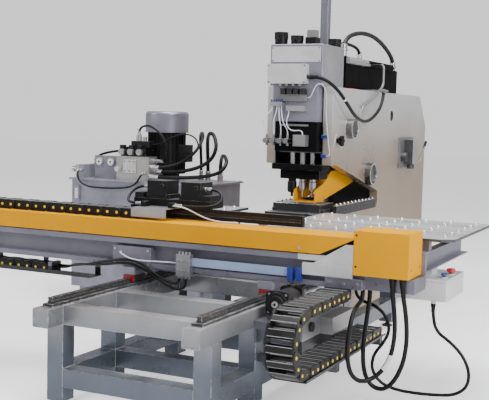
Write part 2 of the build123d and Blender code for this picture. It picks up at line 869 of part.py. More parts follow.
# Saddle: two long members on the carriages, cross plates under the beam, screw nut bracket
with BuildPart() as gantry_saddle:
    saddle_z = (block_top, saddle_top)
    for x in both_sides(rail_x):
        block(
            (x - saddle_half_width, x + saddle_half_width), (saddle_front, saddle_rear), saddle_z
        )
    # Cross plate under the beam between the two members
    block(
        both_sides(rail_x - saddle_half_width),
        (beam_front + 30, beam_rear),
        (saddle_top - 14, saddle_top),
    )
    # Arms that carry the tables, C-shaped with the open side outwards
    for x in arm_places:
        outer = 1 if x > 0 else -1
        arm_front_y = cover_rear + 1 if x > beam_right else table_front + 5
        web_x = (x - arm_width / 2, x + arm_width / 2)
        block(web_x, (arm_front_y, table_rear - 30), (arm_bottom, arm_top))
        pocket_x = sorted((x + outer * arm_width / 2, x - outer * (arm_width / 2 - arm_wall)))
        block(
            pocket_x,
            (arm_front_y + 30, table_rear - 29),
            (arm_bottom + arm_wall, arm_top - arm_wall),
            mode=Mode.SUBTRACT,
        )
        for y in (table_front + 60, (table_front + table_rear) / 2, table_rear - 100):
            block((x - 20, x + 20), (y - 25, y + 25), (arm_top, table_top - table_sheet))
    # Front end of the outer arm, bolted to the rear of the beam extension
    outer_x = (arm_places[-1] - arm_width / 2, arm_places[-1] + arm_width / 2)
    block(outer_x, (cover_rear + 1, cover_rear + 25), (saddle_top, arm_bottom))
    # Uprights from the members, with cross bars under the inner arms and the left outer arm
    for y in upright_ys:
        for side in both_sides(1):
            upright_x = sorted((side * (rail_x - saddle_half_width), side * (rail_x - 8)))
            block(upright_x, (y - 50, y + 50), (saddle_top, arm_bottom))
        block((arm_places[0] - 25, 8 - rail_x), (y - 30, y + 30), (arm_bottom - 40, arm_bottom))
        block((8 - rail_x, arm_places[1] + 25), (y - 50, y + 50), (arm_bottom - 12, arm_bottom))
        block((arm_places[2] - 25, rail_x - 8), (y - 50, y + 50), (arm_bottom - 12, arm_bottom))
    # Bracket for the screw nut beside the right member
    nut_y = (y_nut_y - y_nut_length / 2, y_nut_y + y_nut_length / 2)
    block(
        (rail_x + saddle_half_width - 5, y_drive_x + y_nut_radius + 8),
        (nut_y[0] + 15, nut_y[1] - 15),
        (y_drive_z + y_nut_radius - 6, saddle_top),
    )
    rod(
        (y_drive_x, nut_y[0], y_drive_z),
        (y_drive_x, nut_y[1], y_drive_z),
        y_nut_radius,
    )
    rod(
        (y_drive_x, nut_y[0] - 1, y_drive_z),
        (y_drive_x, nut_y[1] + 1, y_drive_z),
        y_screw_radius + running_gap,
        mode=Mode.SUBTRACT,
    )
finish(gantry_saddle.part, "gantry_saddle")

# Rail carriages: four blocks that hook round the rails, with end seals
with BuildPart() as y_carriages:
    rail_bottom = tube_top + strip_height
    for x in both_sides(rail_x):
        for y in (front_block_y, rear_block_y):
            block(
                (x - block_half_width, x + block_half_width),
                (y - block_length / 2, y + block_length / 2),
                (rail_bottom + 9, block_top),
            )
            block(
                (x - block_half_width + 2, x + block_half_width - 2),
                (y - block_length / 2 - block_cap, y + block_length / 2 + block_cap),
                (rail_bottom + 11, block_top - 3),
            )
    for x in both_sides(rail_x):
        gap = running_gap
        with BuildSketch(Plane.XZ.offset(-(rear_block_y + block_length))):
            with Locations((x, rail_bottom)):
                Polygon(
                    (-half_rail - gap, 0),
                    (-half_rail - gap, rail_height * 0.35 + gap / 2),
                    (-half_waist - gap, rail_height * 0.5 + gap / 2),
                    (-half_waist - gap, rail_height * 0.65 - gap / 2),
                    (-half_rail - gap, rail_height * 0.8 - gap / 2),
                    (-half_rail - gap, rail_height + gap),
                    (half_rail + gap, rail_height + gap),
                    (half_rail + gap, rail_height * 0.8 - gap / 2),
                    (half_waist + gap, rail_height * 0.65 - gap / 2),
                    (half_waist + gap, rail_height * 0.5 + gap / 2),
                    (half_rail + gap, rail_height * 0.35 + gap / 2),
                    (half_rail + gap, 0),
                    align=None,
                )
        extrude(amount=rear_block_y - front_block_y + 2 * block_length, mode=Mode.SUBTRACT)
finish(y_carriages.part, "y_carriages")

# Beam: a channel in the front face, a pocket for the screw in the rear face
beam_section = (
    (beam_front, saddle_top),
    (beam_front, channel_bottom),
    (beam_front + channel_depth, channel_bottom),
    (beam_front + channel_depth, channel_top),
    (beam_front, channel_top),
    (beam_front, cover_bottom - 6),
    (beam_front + 25, cover_bottom - 6),
    (beam_front + 25, beam_top),
    (beam_rear, beam_top),
    (beam_rear, x_screw_z + screw_pocket_half),
    (beam_rear - screw_pocket_depth, x_screw_z + screw_pocket_half),
    (beam_rear - screw_pocket_depth, x_screw_z - screw_pocket_half),
    (beam_rear, x_screw_z - screw_pocket_half),
    (beam_rear, saddle_top),
)
with BuildPart() as x_beam:
    side_block((beam_left, beam_right), beam_section)
    end_plate_x = (beam_right - beam_end_plate, beam_right)
    block(end_plate_x, (beam_front, beam_rear), (saddle_top, beam_top))
    # Lower extension under the yellow box, which carries the outer table arm
    block(
        (beam_right, extension_right), (beam_front + 30, cover_rear + 1), (saddle_top, extension_top)
    )
    # Flat plates on the front, left of the drive and along the lower edge
    lower_edge = saddle_top + 1
    block((-560, -300), (beam_front - 12, beam_front + channel_depth), (lower_edge, channel_top - 16))
    block((-560, 570), (beam_front - 4, beam_front + channel_depth), (lower_edge, channel_bottom))
    # Posts that carry the cover
    for i in range(6):
        x = beam_left + 40 + i * 440
        block(
            (x, x + 30), (beam_front + 40, beam_rear - 40), (beam_top, cover_top - cover_sheet)
        )
    # Bearing block for the screw at the left, and the motor seat at the right
    left_bearing_x = (beam_left + 30, beam_left + 70)
    block(
        left_bearing_x,
        (beam_rear - screw_pocket_depth, beam_rear),
        (x_screw_z - screw_pocket_half, x_screw_z + screw_pocket_half),
    )
    block(
        (beam_right, beam_right + 23),
        (x_screw_y - 46, x_screw_y + 46),
        (x_screw_z - 44, x_screw_z + 44),
    )
    rod(
        (left_bearing_x[0] - 1, x_screw_y, x_screw_z),
        (left_bearing_x[1] + 1, x_screw_y, x_screw_z),
        x_screw_radius + running_gap,
        mode=Mode.SUBTRACT,
    )
    rod(
        (end_plate_x[0] - 1, x_screw_y, x_screw_z),
        (beam_right + 24, x_screw_y, x_screw_z),
        x_screw_radius + 10,
        mode=Mode.SUBTRACT,
    )
    # Rails on the rear face
    for z in x_rail_zs:
        side_block(
            (beam_left + 20, beam_right - 10),
            (
                (beam_rear, z - x_rail_width / 2),
                (beam_rear, z + x_rail_width / 2),
                (beam_rear + x_rail_height * 0.35, z + x_rail_width / 2),
                (beam_rear + x_rail_height * 0.55, z + x_rail_width / 2 - 3),
                (beam_rear + x_rail_height, z + x_rail_width / 2),
                (beam_rear + x_rail_height, z - x_rail_width / 2),
                (beam_rear + x_rail_height * 0.55, z - x_rail_width / 2 + 3),
                (beam_rear + x_rail_height * 0.35, z - x_rail_width / 2),
            ),
        )
    # Grey gusset, bar and bolted plate beside the yellow box
    with BuildSketch(Plane.XZ.offset(-beam_front)):
        Polygon(
            (beam_right - 300, 742),
            (beam_right, 742),
            (beam_right, beam_top),
            (beam_right - 42, beam_top),
            align=None,
        )
    extrude(amount=6)
    block((655, beam_right), (beam_front - 22, beam_front), (724, 788))
    block((784, 993), (beam_front - 13, beam_front), (lower_edge, 722))
    block((beam_right, 993), (beam_front, beam_front + 30), (lower_edge, 722))
    for x in (812, 888, 964):
        rod((x, beam_front - 21, 692), (x, beam_front - 13, 692), 9)
    # Cheeks that hold the end of the lower cable chain
    for x in (y_chain_right - y_chain_width, y_chain_right - link_plate):
        block((x, x + link_plate), (beam_front + 5, beam_front + 50), (612, saddle_top))
    # Tray under the feed chain on three hangers, with a clamp block for the cables that leave it
    tray_x = (beam_left + 2, -780)
    tray_y = (x_chain_front - 8, x_chain_front + x_chain_width + 12)
    tray_z = x_chain_lower_z - link_height / 2
    block(tray_x, tray_y, (tray_z - tray_sheet, tray_z))
    block((-1098, -1070), (x_chain_front, x_chain_front + 96), (tray_z, 624))
    block(tray_x, (tray_y[0], tray_y[0] + tray_sheet), (tray_z, tray_z + tray_lip))
    for x in (beam_left + 60, -1230, -830):
        block((x, x + 40), (tray_y[1] - tray_sheet, tray_y[1]), (tray_z, saddle_top))
finish(x_beam.part, "x_beam")

# Yellow cover over the beam: a folded sheet with a slanting end on the right
with BuildPart() as beam_cover:
    block((cover_left, cover_right), (cover_front, cover_front + cover_sheet), (cover_bottom, cover_top))
    block((cover_left, cover_right), (cover_front, cover_rear), (cover_top - cover_sheet, cover_top))
    block((cover_left, cover_right), (cover_rear - cover_sheet, cover_rear), (beam_top - 4, cover_top))
    with BuildSketch(Plane.XZ.offset(-cover_front + 1)):
        Polygon(
            (cover_right - cover_cut_length, cover_bottom - 1),
            (cover_right + 1, cover_bottom - 1),
            (cover_right + 1, cover_top - 10),
            align=None,
        )
    extrude(amount=-cover_sheet - 2, mode=Mode.SUBTRACT)
finish(beam_cover.part, "beam_cover")

# Yellow box over the feed motor at the end of the beam, open underneath
with BuildPart() as drive_box:
    block((beam_right, box_right), (cover_front, cover_rear), (box_bottom, box_top))
    fillet(edges().filter_by(Axis.Z), 5)
    block(
        (beam_right + cover_sheet, box_right - cover_sheet),
        (cover_front + cover_sheet, cover_rear - cover_sheet),
        (box_bottom - 1, box_top - cover_sheet),
        mode=Mode.SUBTRACT,
    )
    # Lip inside the front of the opening, where the cables come out
    block((1085, box_right - 1), (cover_front + 1, beam_front + 26), (box_bottom, box_bottom + 6))
    # Window in the left wall for the motor seat
    block(
        (beam_right, beam_right + 10),
        (x_screw_y - 48, cover_rear - cover_sheet),
        (box_bottom - 1, x_screw_z + 48),
        mode=Mode.SUBTRACT,
    )
finish(drive_box.part, "drive_box")

# Air valve block, the cable strip and its clips on the front of the beam
with BuildPart() as beam_valve_block:
    block_front = beam_front - valve_block_depth
    port_y = middle((block_front, beam_front - 4))
    block(valve_block_x, (block_front, beam_front - 4), valve_block_z)
    block((valve_block_x[0] + 12, valve_block_x[1] - 12), (beam_front - 4, beam_front), (700, 770))
    for i in range(4):
        x = valve_block_x[0] + 12 + i * valve_port_pitch
        rod((x, port_y, valve_block_z[1]), (x, port_y, valve_block_z[1] + 14), 7)
        rod((x, port_y, valve_port_end), (x, port_y, valve_block_z[0]), 7)
        for z in (680, 735):
            rod((x, block_front - 6, z), (x, block_front, z), 6)
    block((valve_block_x[1], 575), (beam_front - 16, beam_front - 4), (704, 750))
    for x in (572, 622):
        block((x, x + 30), (beam_front - 30, beam_front - 7), (682, 756))
    block((600, 626), (beam_front - 12, beam_front - 4), (700, 740))
    block((-40, 620), (beam_front - 4, beam_front), (712, 742))
finish(beam_valve_block.part, "beam_valve_block")

# Feed screw along the beam, and its motor inside the yellow box
with BuildPart() as x_screw:
    screw_x = (beam_left + 30, beam_right + 20)
    rod(
        (screw_x[0], x_screw_y, x_screw_z), (screw_x[1], x_screw_y, x_screw_z), x_screw_radius
    )
    rod(
        (beam_right - 8, x_screw_y, x_screw_z),
        (beam_right + 20, x_screw_y, x_screw_z),
        x_screw_radius + 8,
    )
finish(x_screw.part, "x_screw")

with BuildPart() as x_servo_motor:
    flange_x = beam_right + 23
    block((flange_x, flange_x + 10), (x_screw_y - 46, x_screw_y + 46), (x_screw_z - 44, x_screw_z + 44))
    block(
        (flange_x + 10, flange_x + 180),
        (x_screw_y - 40, x_screw_y + 40),
        (x_screw_z - 40, x_screw_z + 40),
    )
    fillet(edges().filter_by(Axis.X), 6)
    block(
        (flange_x + 130, flange_x + 165),
        (x_screw_y - 18, x_screw_y + 18),
        (x_screw_z + 40, x_screw_z + 66),
    )
finish(x_servo_motor.part, "x_servo_motor")


def table(x, corner_end):
    """A table plate in the open part with cut outer corners and ball units on top."""
    outer = 1 if corner_end == x[1] else -1
    inner_end = x[0] if outer > 0 else x[1]
    with BuildSketch(Plane.XY.offset(table_top - table_sheet)) as plate:
        Polygon(
            (inner_end, table_front),
            (corner_end - outer * corner_cut_x, table_front),
            (corner_end, table_front + corner_cut_y),
            (corner_end, table_rear - rear_corner_cut),
            (corner_end - outer * rear_corner_cut, table_rear),
            (inner_end, table_rear),
            align=None,
        )
    extrude(plate.sketch, amount=table_sheet)
    ball_y = (table_front + ball_margin_front, table_rear - ball_margin)
    count_x = round((x[1] - x[0] - 2 * ball_margin) / ball_pitch) + 1
    count_y = round((ball_y[1] - ball_y[0]) / ball_pitch) + 1
    step_x = (x[1] - x[0] - 2 * ball_margin) / (count_x - 1)
    step_y = (ball_y[1] - ball_y[0]) / (count_y - 1)
    with BuildSketch(Plane.XY.offset(table_top)) as cups:
        with Locations((middle(x), middle(ball_y))):
            with GridLocations(step_x, step_y, count_x, count_y):
                Circle(ball_cup_radius)
    extrude(cups.sketch, amount=ball_cup_height)
    with BuildSketch(Plane.XY.offset(table_top + ball_cup_height)) as balls:
        with Locations((middle(x), middle(ball_y))):
            with GridLocations(step_x, step_y, count_x, count_y):
                Circle(ball_radius)
    extrude(balls.sketch, amount=ball_rise, taper=36)


with BuildPart() as right_table:
    table((right_table_inner, right_table_end), right_table_end)
finish(right_table.part, "right_table")
with BuildPart() as left_table:
    table((left_table_end, left_table_inner), left_table_end)
finish(left_table.part, "left_table")

# Control box hung from the outer arm, with a lid seam and a cable gland below
control_z = (control_bottom, control_top)
with BuildPart() as control_box:
    block((control_left, control_right), (control_front, control_rear), control_z)
    fillet(edges().filter_by(Axis.Z), 6)
    # Seam under the lid
    seam_z = (control_top - 16, control_top - 13)
    seam = ((control_left, control_right), (control_front, control_rear), seam_z)
    inset = ((control_left + 1.5, control_right - 1.5), (control_front + 1.5, control_rear - 1.5), seam_z)
    block(*seam, mode=Mode.SUBTRACT)
    block(*inset)
    hanger_x = (arm_places[-1] - 20, arm_places[-1] + 20)
    block(hanger_x, (-1300, -1180), (control_top, arm_bottom))
    rod((1290, -1375, control_bottom - 22), (1290, -1375, control_bottom), 14)
    for x, y, radius in ((1336, -1197, 18), (1333, -1340, 15), (1164, -1126, 15)):
        rod((x, y, control_top), (x, y, control_top + 6), radius + 5)
        rod((x, y, control_top - 24), (x, y, control_top + 7), 9 + running_gap, mode=Mode.SUBTRACT)
finish(control_box.part, "control_box")


def push_button(x, y, radius, height):
    """A push button in the open part: a stem in its hole and a cap above the collar."""
    cap_bottom = control_top + 6 + button_travel + 1
    rod((x, y, control_top - 14), (x, y, cap_bottom), 9)
    rod((x, y, cap_bottom), (x, y, cap_bottom + 4), radius * 0.8)
    rod((x, y, cap_bottom + 4), (x, y, cap_bottom + 4 + height), radius)


with BuildPart() as e_stop:
    push_button(1336, -1197, 24, 18)
    fillet(faces().sort_by(Axis.Z)[-1].edges(), 6)
finish(e_stop.part, "e_stop")
with BuildPart() as start_button:
    push_button(1333, -1340, 17, 8)
finish(start_button.part, "start_button")
with BuildPart() as reset_button:
    push_button(1164, -1126, 17, 8)
finish(reset_button.part, "reset_button")

# Clamp carriage: back plate on four blocks, with the nut and the chain end bracket
with BuildPart() as x_carriage:
    plate_y = (carriage_front, carriage_front + carriage_plate)
    block((carriage_left, carriage_right), plate_y, (696, bar_bottom))
    for x in (carriage_left + 60, carriage_right - 60):
        for z in x_rail_zs:
            rail_gap = x_rail_width / 2 + running_gap
            hook_y = (beam_rear + 8, carriage_front)
            block((x - 45, x + 45), hook_y, (z - x_block_half, z - rail_gap))
            block((x - 45, x + 45), hook_y, (z + rail_gap, z + x_block_half))
            block(
                (x - 45, x + 45),
                (beam_rear + x_rail_height + running_gap, carriage_front),
                (z - x_block_half, z + x_block_half),
            )
    # Nut arm into the screw pocket
    nut_x = middle((carriage_left, carriage_right))
    block((nut_x - 30, nut_x + 30), (x_screw_y, carriage_front), (x_screw_z - 15, x_screw_z + 15))
    rod((nut_x - 45, x_screw_y, x_screw_z), (nut_x + 45, x_screw_y, x_screw_z), x_nut_radius)
    rod(
        (nut_x - 46, x_screw_y, x_screw_z),
        (nut_x + 46, x_screw_y, x_screw_z),
        x_screw_radius + running_gap,
        mode=Mode.SUBTRACT,
    )
finish(x_carriage.part, "x_carriage")

# Clamps: slotted rail, base with stops, two cylinder bodies and the fixed lower jaws
with BuildPart() as clamps:
    rail_y = (bar_front, bar_front + bar_depth)
    block((bar_left, bar_right), rail_y, (bar_bottom, bar_top))
    block(
        (bar_left + 20, bar_right - 12), (bar_front, bar_front + 9), (968, 984), mode=Mode.SUBTRACT
    )
    base_y = (bar_front, clamp_rear)
    block((carriage_left, carriage_right), base_y, (bar_top, 1052))
    for x in clamp_xs:
        body_x = (x - clamp_body / 2, x + clamp_body / 2)
        block(body_x, (bar_front + 6, clamp_rear - 6), (1052, clamp_body_top))
        block((x - 84, x + 84), (bar_front + 16, clamp_rear - 16), (1052, 1078))
        block((x - 50, x + 50), (bar_front + bar_depth, jaw_rear), (pass_line - 20, pass_line))
        stem_y = middle((bar_front + bar_depth, jaw_rear))
        rod((x, stem_y, bar_top - 1), (x, stem_y, 1110), 16 + running_gap, mode=Mode.SUBTRACT)
        rod((x + 40, bar_front - 4, 1130), (x + 40, bar_front + 10, 1130), 13)
    for x in (carriage_left + 34, carriage_right - 36):
        block((x - 30, x + 30), (bar_front + 4, clamp_rear - 20), (1052, clamp_base_top))
    # Folded sheet from the chain end to the clamp base, with two hose blocks on it
    for x in ((-470, -440), (-280, -250)):
        block(x, (-1550, -1490), (bar_top, bar_top + 32))
    block((-490, -250), (x_chain_front - 4, bar_front), (bar_top - 4, bar_top))
    for y in (x_chain_front - 4, x_chain_front + x_chain_width):
        block((-490, -425), (y, y + 4), (952, bar_top))
    block((-425, -250), (x_chain_front - 4, x_chain_front), (952, bar_top))
finish(clamps.part, "clamps")


def jaw(x):
    """An upper jaw in the open part, with its stem in the cylinder body."""
    jaw_top = bar_top - clear_gap
    jaw_y = (bar_front + bar_depth + clear_gap, jaw_rear)
    block((x - jaw_half_width, x + jaw_half_width), jaw_y, (jaw_top - jaw_thickness, jaw_top))
    stem_y = middle((bar_front + bar_depth, jaw_rear))
    rod((x, stem_y, jaw_top), (x, stem_y, 1100), 16)


with BuildPart() as jaw_left:
    jaw(clamp_xs[0])
finish(jaw_left.part, "jaw_left")
with BuildPart() as jaw_right:
    jaw(clamp_xs[1])
finish(jaw_right.part, "jaw_right")

# Bracket on the side of the bed with the motor seat and the front screw bearing
with BuildPart() as y_motor_bracket:
    shelf_top = 495
    bracket_y = (bracket_front, bracket_front + bracket_length)
    shelf_x = (bed_half_width, bed_half_width + bracket_reach)
    block(shelf_x, bracket_y, (shelf_top - bracket_plate, shelf_top))
    block(
        (bed_half_width, bed_half_width + bracket_plate),
        bracket_y,
        (shelf_top - bracket_height, shelf_top),
    )
    block(shelf_x, (bracket_y[0] - 6, bracket_y[0]), (shelf_top - 42, shelf_top))
    for y in (bracket_y[0] + 24, bracket_y[1] - 36):
        with BuildSketch(Plane.XZ.offset(-y)):
            Polygon(
                (bed_half_width, shelf_top - bracket_height),
                (bed_half_width + 20, shelf_top - bracket_height),
                (shelf_x[1], shelf_top - 30),
                (shelf_x[1], shelf_top),
                (bed_half_width, shelf_top),
                align=None,
            )
        extrude(amount=-10)
    for y in (bracket_y[0] + 70, bracket_y[0] + 110):
        rod(
            (bed_half_width + bracket_plate, y, 400), (bed_half_width + bracket_plate + 8, y, 400), 9
        )
    seat_half = motor_size / 2 - 5
    block(
        (y_drive_x - seat_half, y_drive_x + seat_half),
        (motor_front + 30, motor_front + 220),
        (shelf_top, y_drive_z - motor_size / 2),
    )
    bearing_y = (motor_front + motor_length + 40, motor_front + motor_length + 75)
    block((y_drive_x - 42, y_drive_x + 42), bearing_y, (shelf_top - 5, y_drive_z + 40))
    rod(
        (y_drive_x, bearing_y[0] - 1, y_drive_z),
        (y_drive_x, bearing_y[1] + 1, y_drive_z),
        y_screw_radius + running_gap,
        mode=Mode.SUBTRACT,
    )
finish(y_motor_bracket.part, "y_motor_bracket")

# Feed motor beside the bed: round body with cast ends and a ring on the rear cap
with BuildPart() as y_servo_motor:
    motor_rear = motor_front + motor_length
    rod((y_drive_x, motor_front, y_drive_z), (y_drive_x, motor_rear, y_drive_z), 61)
    half = motor_size / 2
    for y in ((motor_front + 18, motor_front + 60), (motor_rear - 30, motor_rear)):
        with BuildSketch(Plane.XZ.offset(-y[0])):
            with Locations((y_drive_x, y_drive_z)):
                RectangleRounded(motor_size, motor_size, 22)
        extrude(amount=y[0] - y[1])
    block(
        (y_drive_x - 50, y_drive_x + 50),
        (motor_front + 40, motor_rear - 10),
        (y_drive_z - half, y_drive_z - 30),
    )
    rod((y_drive_x, motor_front - 10, y_drive_z), (y_drive_x, motor_front, y_drive_z), 44)
    rod((y_drive_x, motor_front - 20, y_drive_z), (y_drive_x, motor_front - 10, y_drive_z), 17)
    rod(
        (y_drive_x, motor_front - 21, y_drive_z),
        (y_drive_x, motor_front - 8, y_drive_z),
        8,
        mode=Mode.SUBTRACT,
    )
    block(
        (y_drive_x + 40, y_drive_x + half + 22),
        (motor_front + 70, motor_front + 120),
        (y_drive_z - 20, y_drive_z + 22),
    )
finish(y_servo_motor.part, "y_servo_motor")

with BuildPart() as y_screw:
    screw_start = motor_rear + clear_gap
    rod((y_drive_x, screw_start, y_drive_z), (y_drive_x, y_screw_rear, y_drive_z), y_screw_radius)
    rod((y_drive_x, screw_start, y_drive_z), (y_drive_x, screw_start + 32, y_drive_z), 26)
finish(y_screw.part, "y_screw")


def straight_links(start, count, height):
    """Places of links in a straight run, as (along, up, turn)."""
    return [(start + (i + 0.5) * link_pitch, height, 0) for i in range(count)]


def bend_links(centre, bottom, count):
    """Places of links in a half turn that bulges towards smaller values."""
    step = 180 / count
    radius = link_pitch / 2 / math.tan(math.radians(step / 2))
    height = bottom + link_pitch / 2 / math.sin(math.radians(step / 2))
    places = []
    for i in range(count):
        angle = 90 + (i + 0.5) * step
        turn = math.radians(angle)
        places.append(
            (centre + radius * math.cos(turn), height + radius * math.sin(turn), angle - 90)
        )
    return places


def chain_links(plane, width, places, first_layer=1):
    """Links in the open part: side plates in two layers and bars across, seen on the plane."""
    for layer in range(2):
        own = places[(layer + first_layer) % 2 :: 2]
        spots = [Location((u, v, 0), (0, 0, turn)) for u, v, turn in own]
        for side_offset in (-layer * link_plate, -width + (1 + layer) * link_plate):
            with BuildSketch(plane.offset(side_offset)) as sides:
                with Locations(*spots):
                    SlotCenterToCenter(link_pitch, link_height - 4 * layer)
            extrude(sides.sketch, amount=-link_plate)
    spots = [Location((u, v, 0), (0, 0, turn)) for u, v, turn in places]
    bar_offset = link_height / 2 - link_bar_height / 2 - 3
    with BuildSketch(plane.offset(-link_plate)) as bars:
        with Locations(*spots):
            with Locations((0, bar_offset), (0, -bar_offset)):
                Rectangle(link_bar, link_bar_height)
    extrude(bars.sketch, amount=-width + 2 * link_plate)


y_chain_plane = Plane.YZ.offset(y_chain_right)
x_chain_plane = Plane.XZ.offset(-x_chain_front)
with BuildPart() as y_chain_lower:
    chain_links(
        y_chain_plane,
        y_chain_width,
        straight_links(y_chain_bend_y + running_gap, y_chain_lower_links, y_chain_lower_z),
    )
finish(y_chain_lower.part, "y_chain_lower")
with BuildPart() as y_chain_bend:
    chain_links(
        y_chain_plane,
        y_chain_width,
        bend_links(y_chain_bend_y, y_chain_lower_z, y_chain_bend_links),
        first_layer=0,
    )
finish(y_chain_bend.part, "y_chain_bend")
with BuildPart() as y_chain_upper:
    chain_links(
        y_chain_plane,
        y_chain_width,
        straight_links(y_chain_bend_y + running_gap, y_chain_upper_links, y_chain_upper_z),
    )
finish(y_chain_upper.part, "y_chain_upper")
with BuildPart() as x_chain_lower:
    chain_links(
        x_chain_plane,
        x_chain_width,
        straight_links(x_chain_bend_x + running_gap, x_chain_lower_links, x_chain_lower_z),
    )
finish(x_chain_lower.part, "x_chain_lower")
with BuildPart() as x_chain_bend:
    chain_links(
        x_chain_plane,
        x_chain_width,
        bend_links(x_chain_bend_x, x_chain_lower_z, x_chain_bend_links),
        first_layer=0,
    )
finish(x_chain_bend.part, "x_chain_bend")
with BuildPart() as x_chain_upper:
    chain_links(
        x_chain_plane,
        x_chain_width,
        straight_links(x_chain_bend_x + running_gap, x_chain_upper_links, x_chain_upper_z),
    )
finish(x_chain_upper.part, "x_chain_upper")

# Fittings on the right side of the bed: chain tray, side panel, junction box and grommet
with BuildPart() as side_fittings:
    tray_top = y_chain_lower_z - link_height / 2
    tray_x = (y_chain_right - y_chain_width - 8, y_chain_right + 8)
    tray_y = (-2300, y_chain_bend_y + (y_chain_lower_links + 0.8) * link_pitch)
    block(tray_x, tray_y, (tray_top - tray_sheet, tray_top))
    for x in (tray_x[0], tray_x[1] - tray_sheet):
        block((x, x + tray_sheet), tray_y, (tray_top, tray_top + 10))
    for y in (ring_fronts[1] + 30, ring_fronts[2] + 20):
        block((bed_half_width, tray_x[1]), (y, y + 40), (tray_top - 43, tray_top - tray_sheet))
    panel_x = (612, 624)
    block(panel_x, (-1600, -960), (150, 475))
    for y in (ring_fronts[1] + 380, ring_fronts[2] + 20):
        block((bed_half_width, panel_x[0]), (y, y + 40), (150, 190))
    block((panel_x[1], 700), (-1336, -970), (258, 422))
    chamfer(faces().filter_by(Axis.X).sort_by(Axis.X)[-4:].edges().group_by(Axis.X)[-1], 1)
    rod((panel_x[1], -1490, 392), (panel_x[1] + 18, -1490, 392), 28)
finish(side_fittings.part, "side_fittings")

# Oil tank on two foot channels, with its lid, level gauge, filler and left-hand fittings
with BuildPart() as oil_tank:
    block((tank_left, tank_right), (tank_front, tank_rear), (tank_bottom, tank_top))
    fillet(edges().filter_by(Axis.Z), tank_corner)
    block(
        (tank_left - 12, tank_right + 12),
        (tank_front - 12, tank_rear + 12),
        (tank_top, tank_top + tank_lid),
    )
    for x in (tank_left + 80, tank_right - 180):
        block((x, x + 100), (tank_front + 30, tank_rear - 30), (0, tank_bottom))
    block((-2146, -2094), (tank_front - 16, tank_front), (835, 965))
    block((-2134, -2106), (tank_front - 20, tank_front - 16), (858, 942))
    lid_top = tank_top + tank_lid
    rod((-2060, 600, lid_top), (-2060, 600, lid_top + 90), 48)
    for i in range(3):
        rod((-2196, 170 + i * 90, lid_top + 70), (-2130, 170 + i * 90, lid_top + 70), 17)
        rod((-2215, 170 + i * 90, lid_top + 70), (-2196, 170 + i * 90, lid_top + 70), 25)
    block((-2160, -2080), (130, 400), (lid_top, lid_top + 110))
    rod((-2100, 112, 1090), (-2100, 130, 1090), 14)
    for x, y in return_stubs:
        rod((x, y, lid_top), (x, y, stub_top), 24)
finish(oil_tank.part, "oil_tank")

# Gauge panel, manifold and the stack of solenoid valves on the tank
with BuildPart() as valve_stack:
    block((-2009, -1782), (186, 196), (lid_top + 16, 1215))
    block((-2009, -1782), (186, 246), (lid_top, lid_top + 16))
    for x in (-1957, -1844):
        rod((x, 168, 1165), (x, 186, 1165), 33)
        rod((x, 196, 1165), (x, 216, 1165), 10)
    block((-1773, manifold_right), (150, 285), (lid_top, manifold_top))
    fillet(edges().group_by(Axis.Z)[-1].filter_by(Axis.Y), 6)
    block((-1700, -1580), (138, 150), (1085, 1195))
    for x in (-1684, -1640, -1596):
        for z in (1102, 1178):
            rod((x, 134, z), (x, 138, z), 7)
    rod((-1745, 110, 1115), (-1745, 150, 1115), 22)
    # Three valve bodies with a solenoid at each end
    for i in range(3):
        x = -1700 + i * 84
        block((x - 34, x + 34), (155, 250), (manifold_top, 1295))
        rod((x, 100, 1258), (x, 155, 1258), 26)
        rod((x, 250, 1258), (x, 286, 1258), 26)
        block((x - 18, x + 18), (112, 155), (1280, 1312))
    block((-1640, -1470), (160, 250), (1295, 1345))
    rod((-1600, 215, 1345), (-1600, 215, 1392), 22)
    rod((-1545, 215, 1345), (-1545, 215, 1380), 18)
    # Ports on the right-hand face
    ports = ((port_outer, 24), (port_inner, 24), (port_return, 20), (port_rear, 18))
    for (port_y, port_z), radius in ports:
        rod((manifold_right, port_y, port_z), (port_end, port_y, port_z), radius)
finish(valve_stack.part, "valve_stack")

# Pump motor standing on the tank: bell housing, finned body and terminal box
with BuildPart() as pump_motor:
    with BuildSketch(Plane.XY.offset(lid_top)):
        with Locations((motor_x, motor_y)):
            Circle(110)
    extrude(amount=motor_bottom - lid_top)
    with BuildSketch(Plane.XY.offset(motor_bottom)):
        with Locations((motor_x, motor_y)):
            Circle(motor_radius - fin_height)
            with PolarLocations(motor_radius - fin_height / 2 - 2, fin_count):
                Rectangle(fin_height + 4, 5)
    extrude(amount=motor_top - motor_bottom)
    block((motor_x + 130, motor_x + 215), (motor_y - 60, motor_y + 60), (1180, 1320))
    rod(
        (motor_x, motor_y, motor_top + 1),
        (motor_x, motor_y, motor_top - 60),
        20 + running_gap,
        mode=Mode.SUBTRACT,
    )
finish(pump_motor.part, "pump_motor")

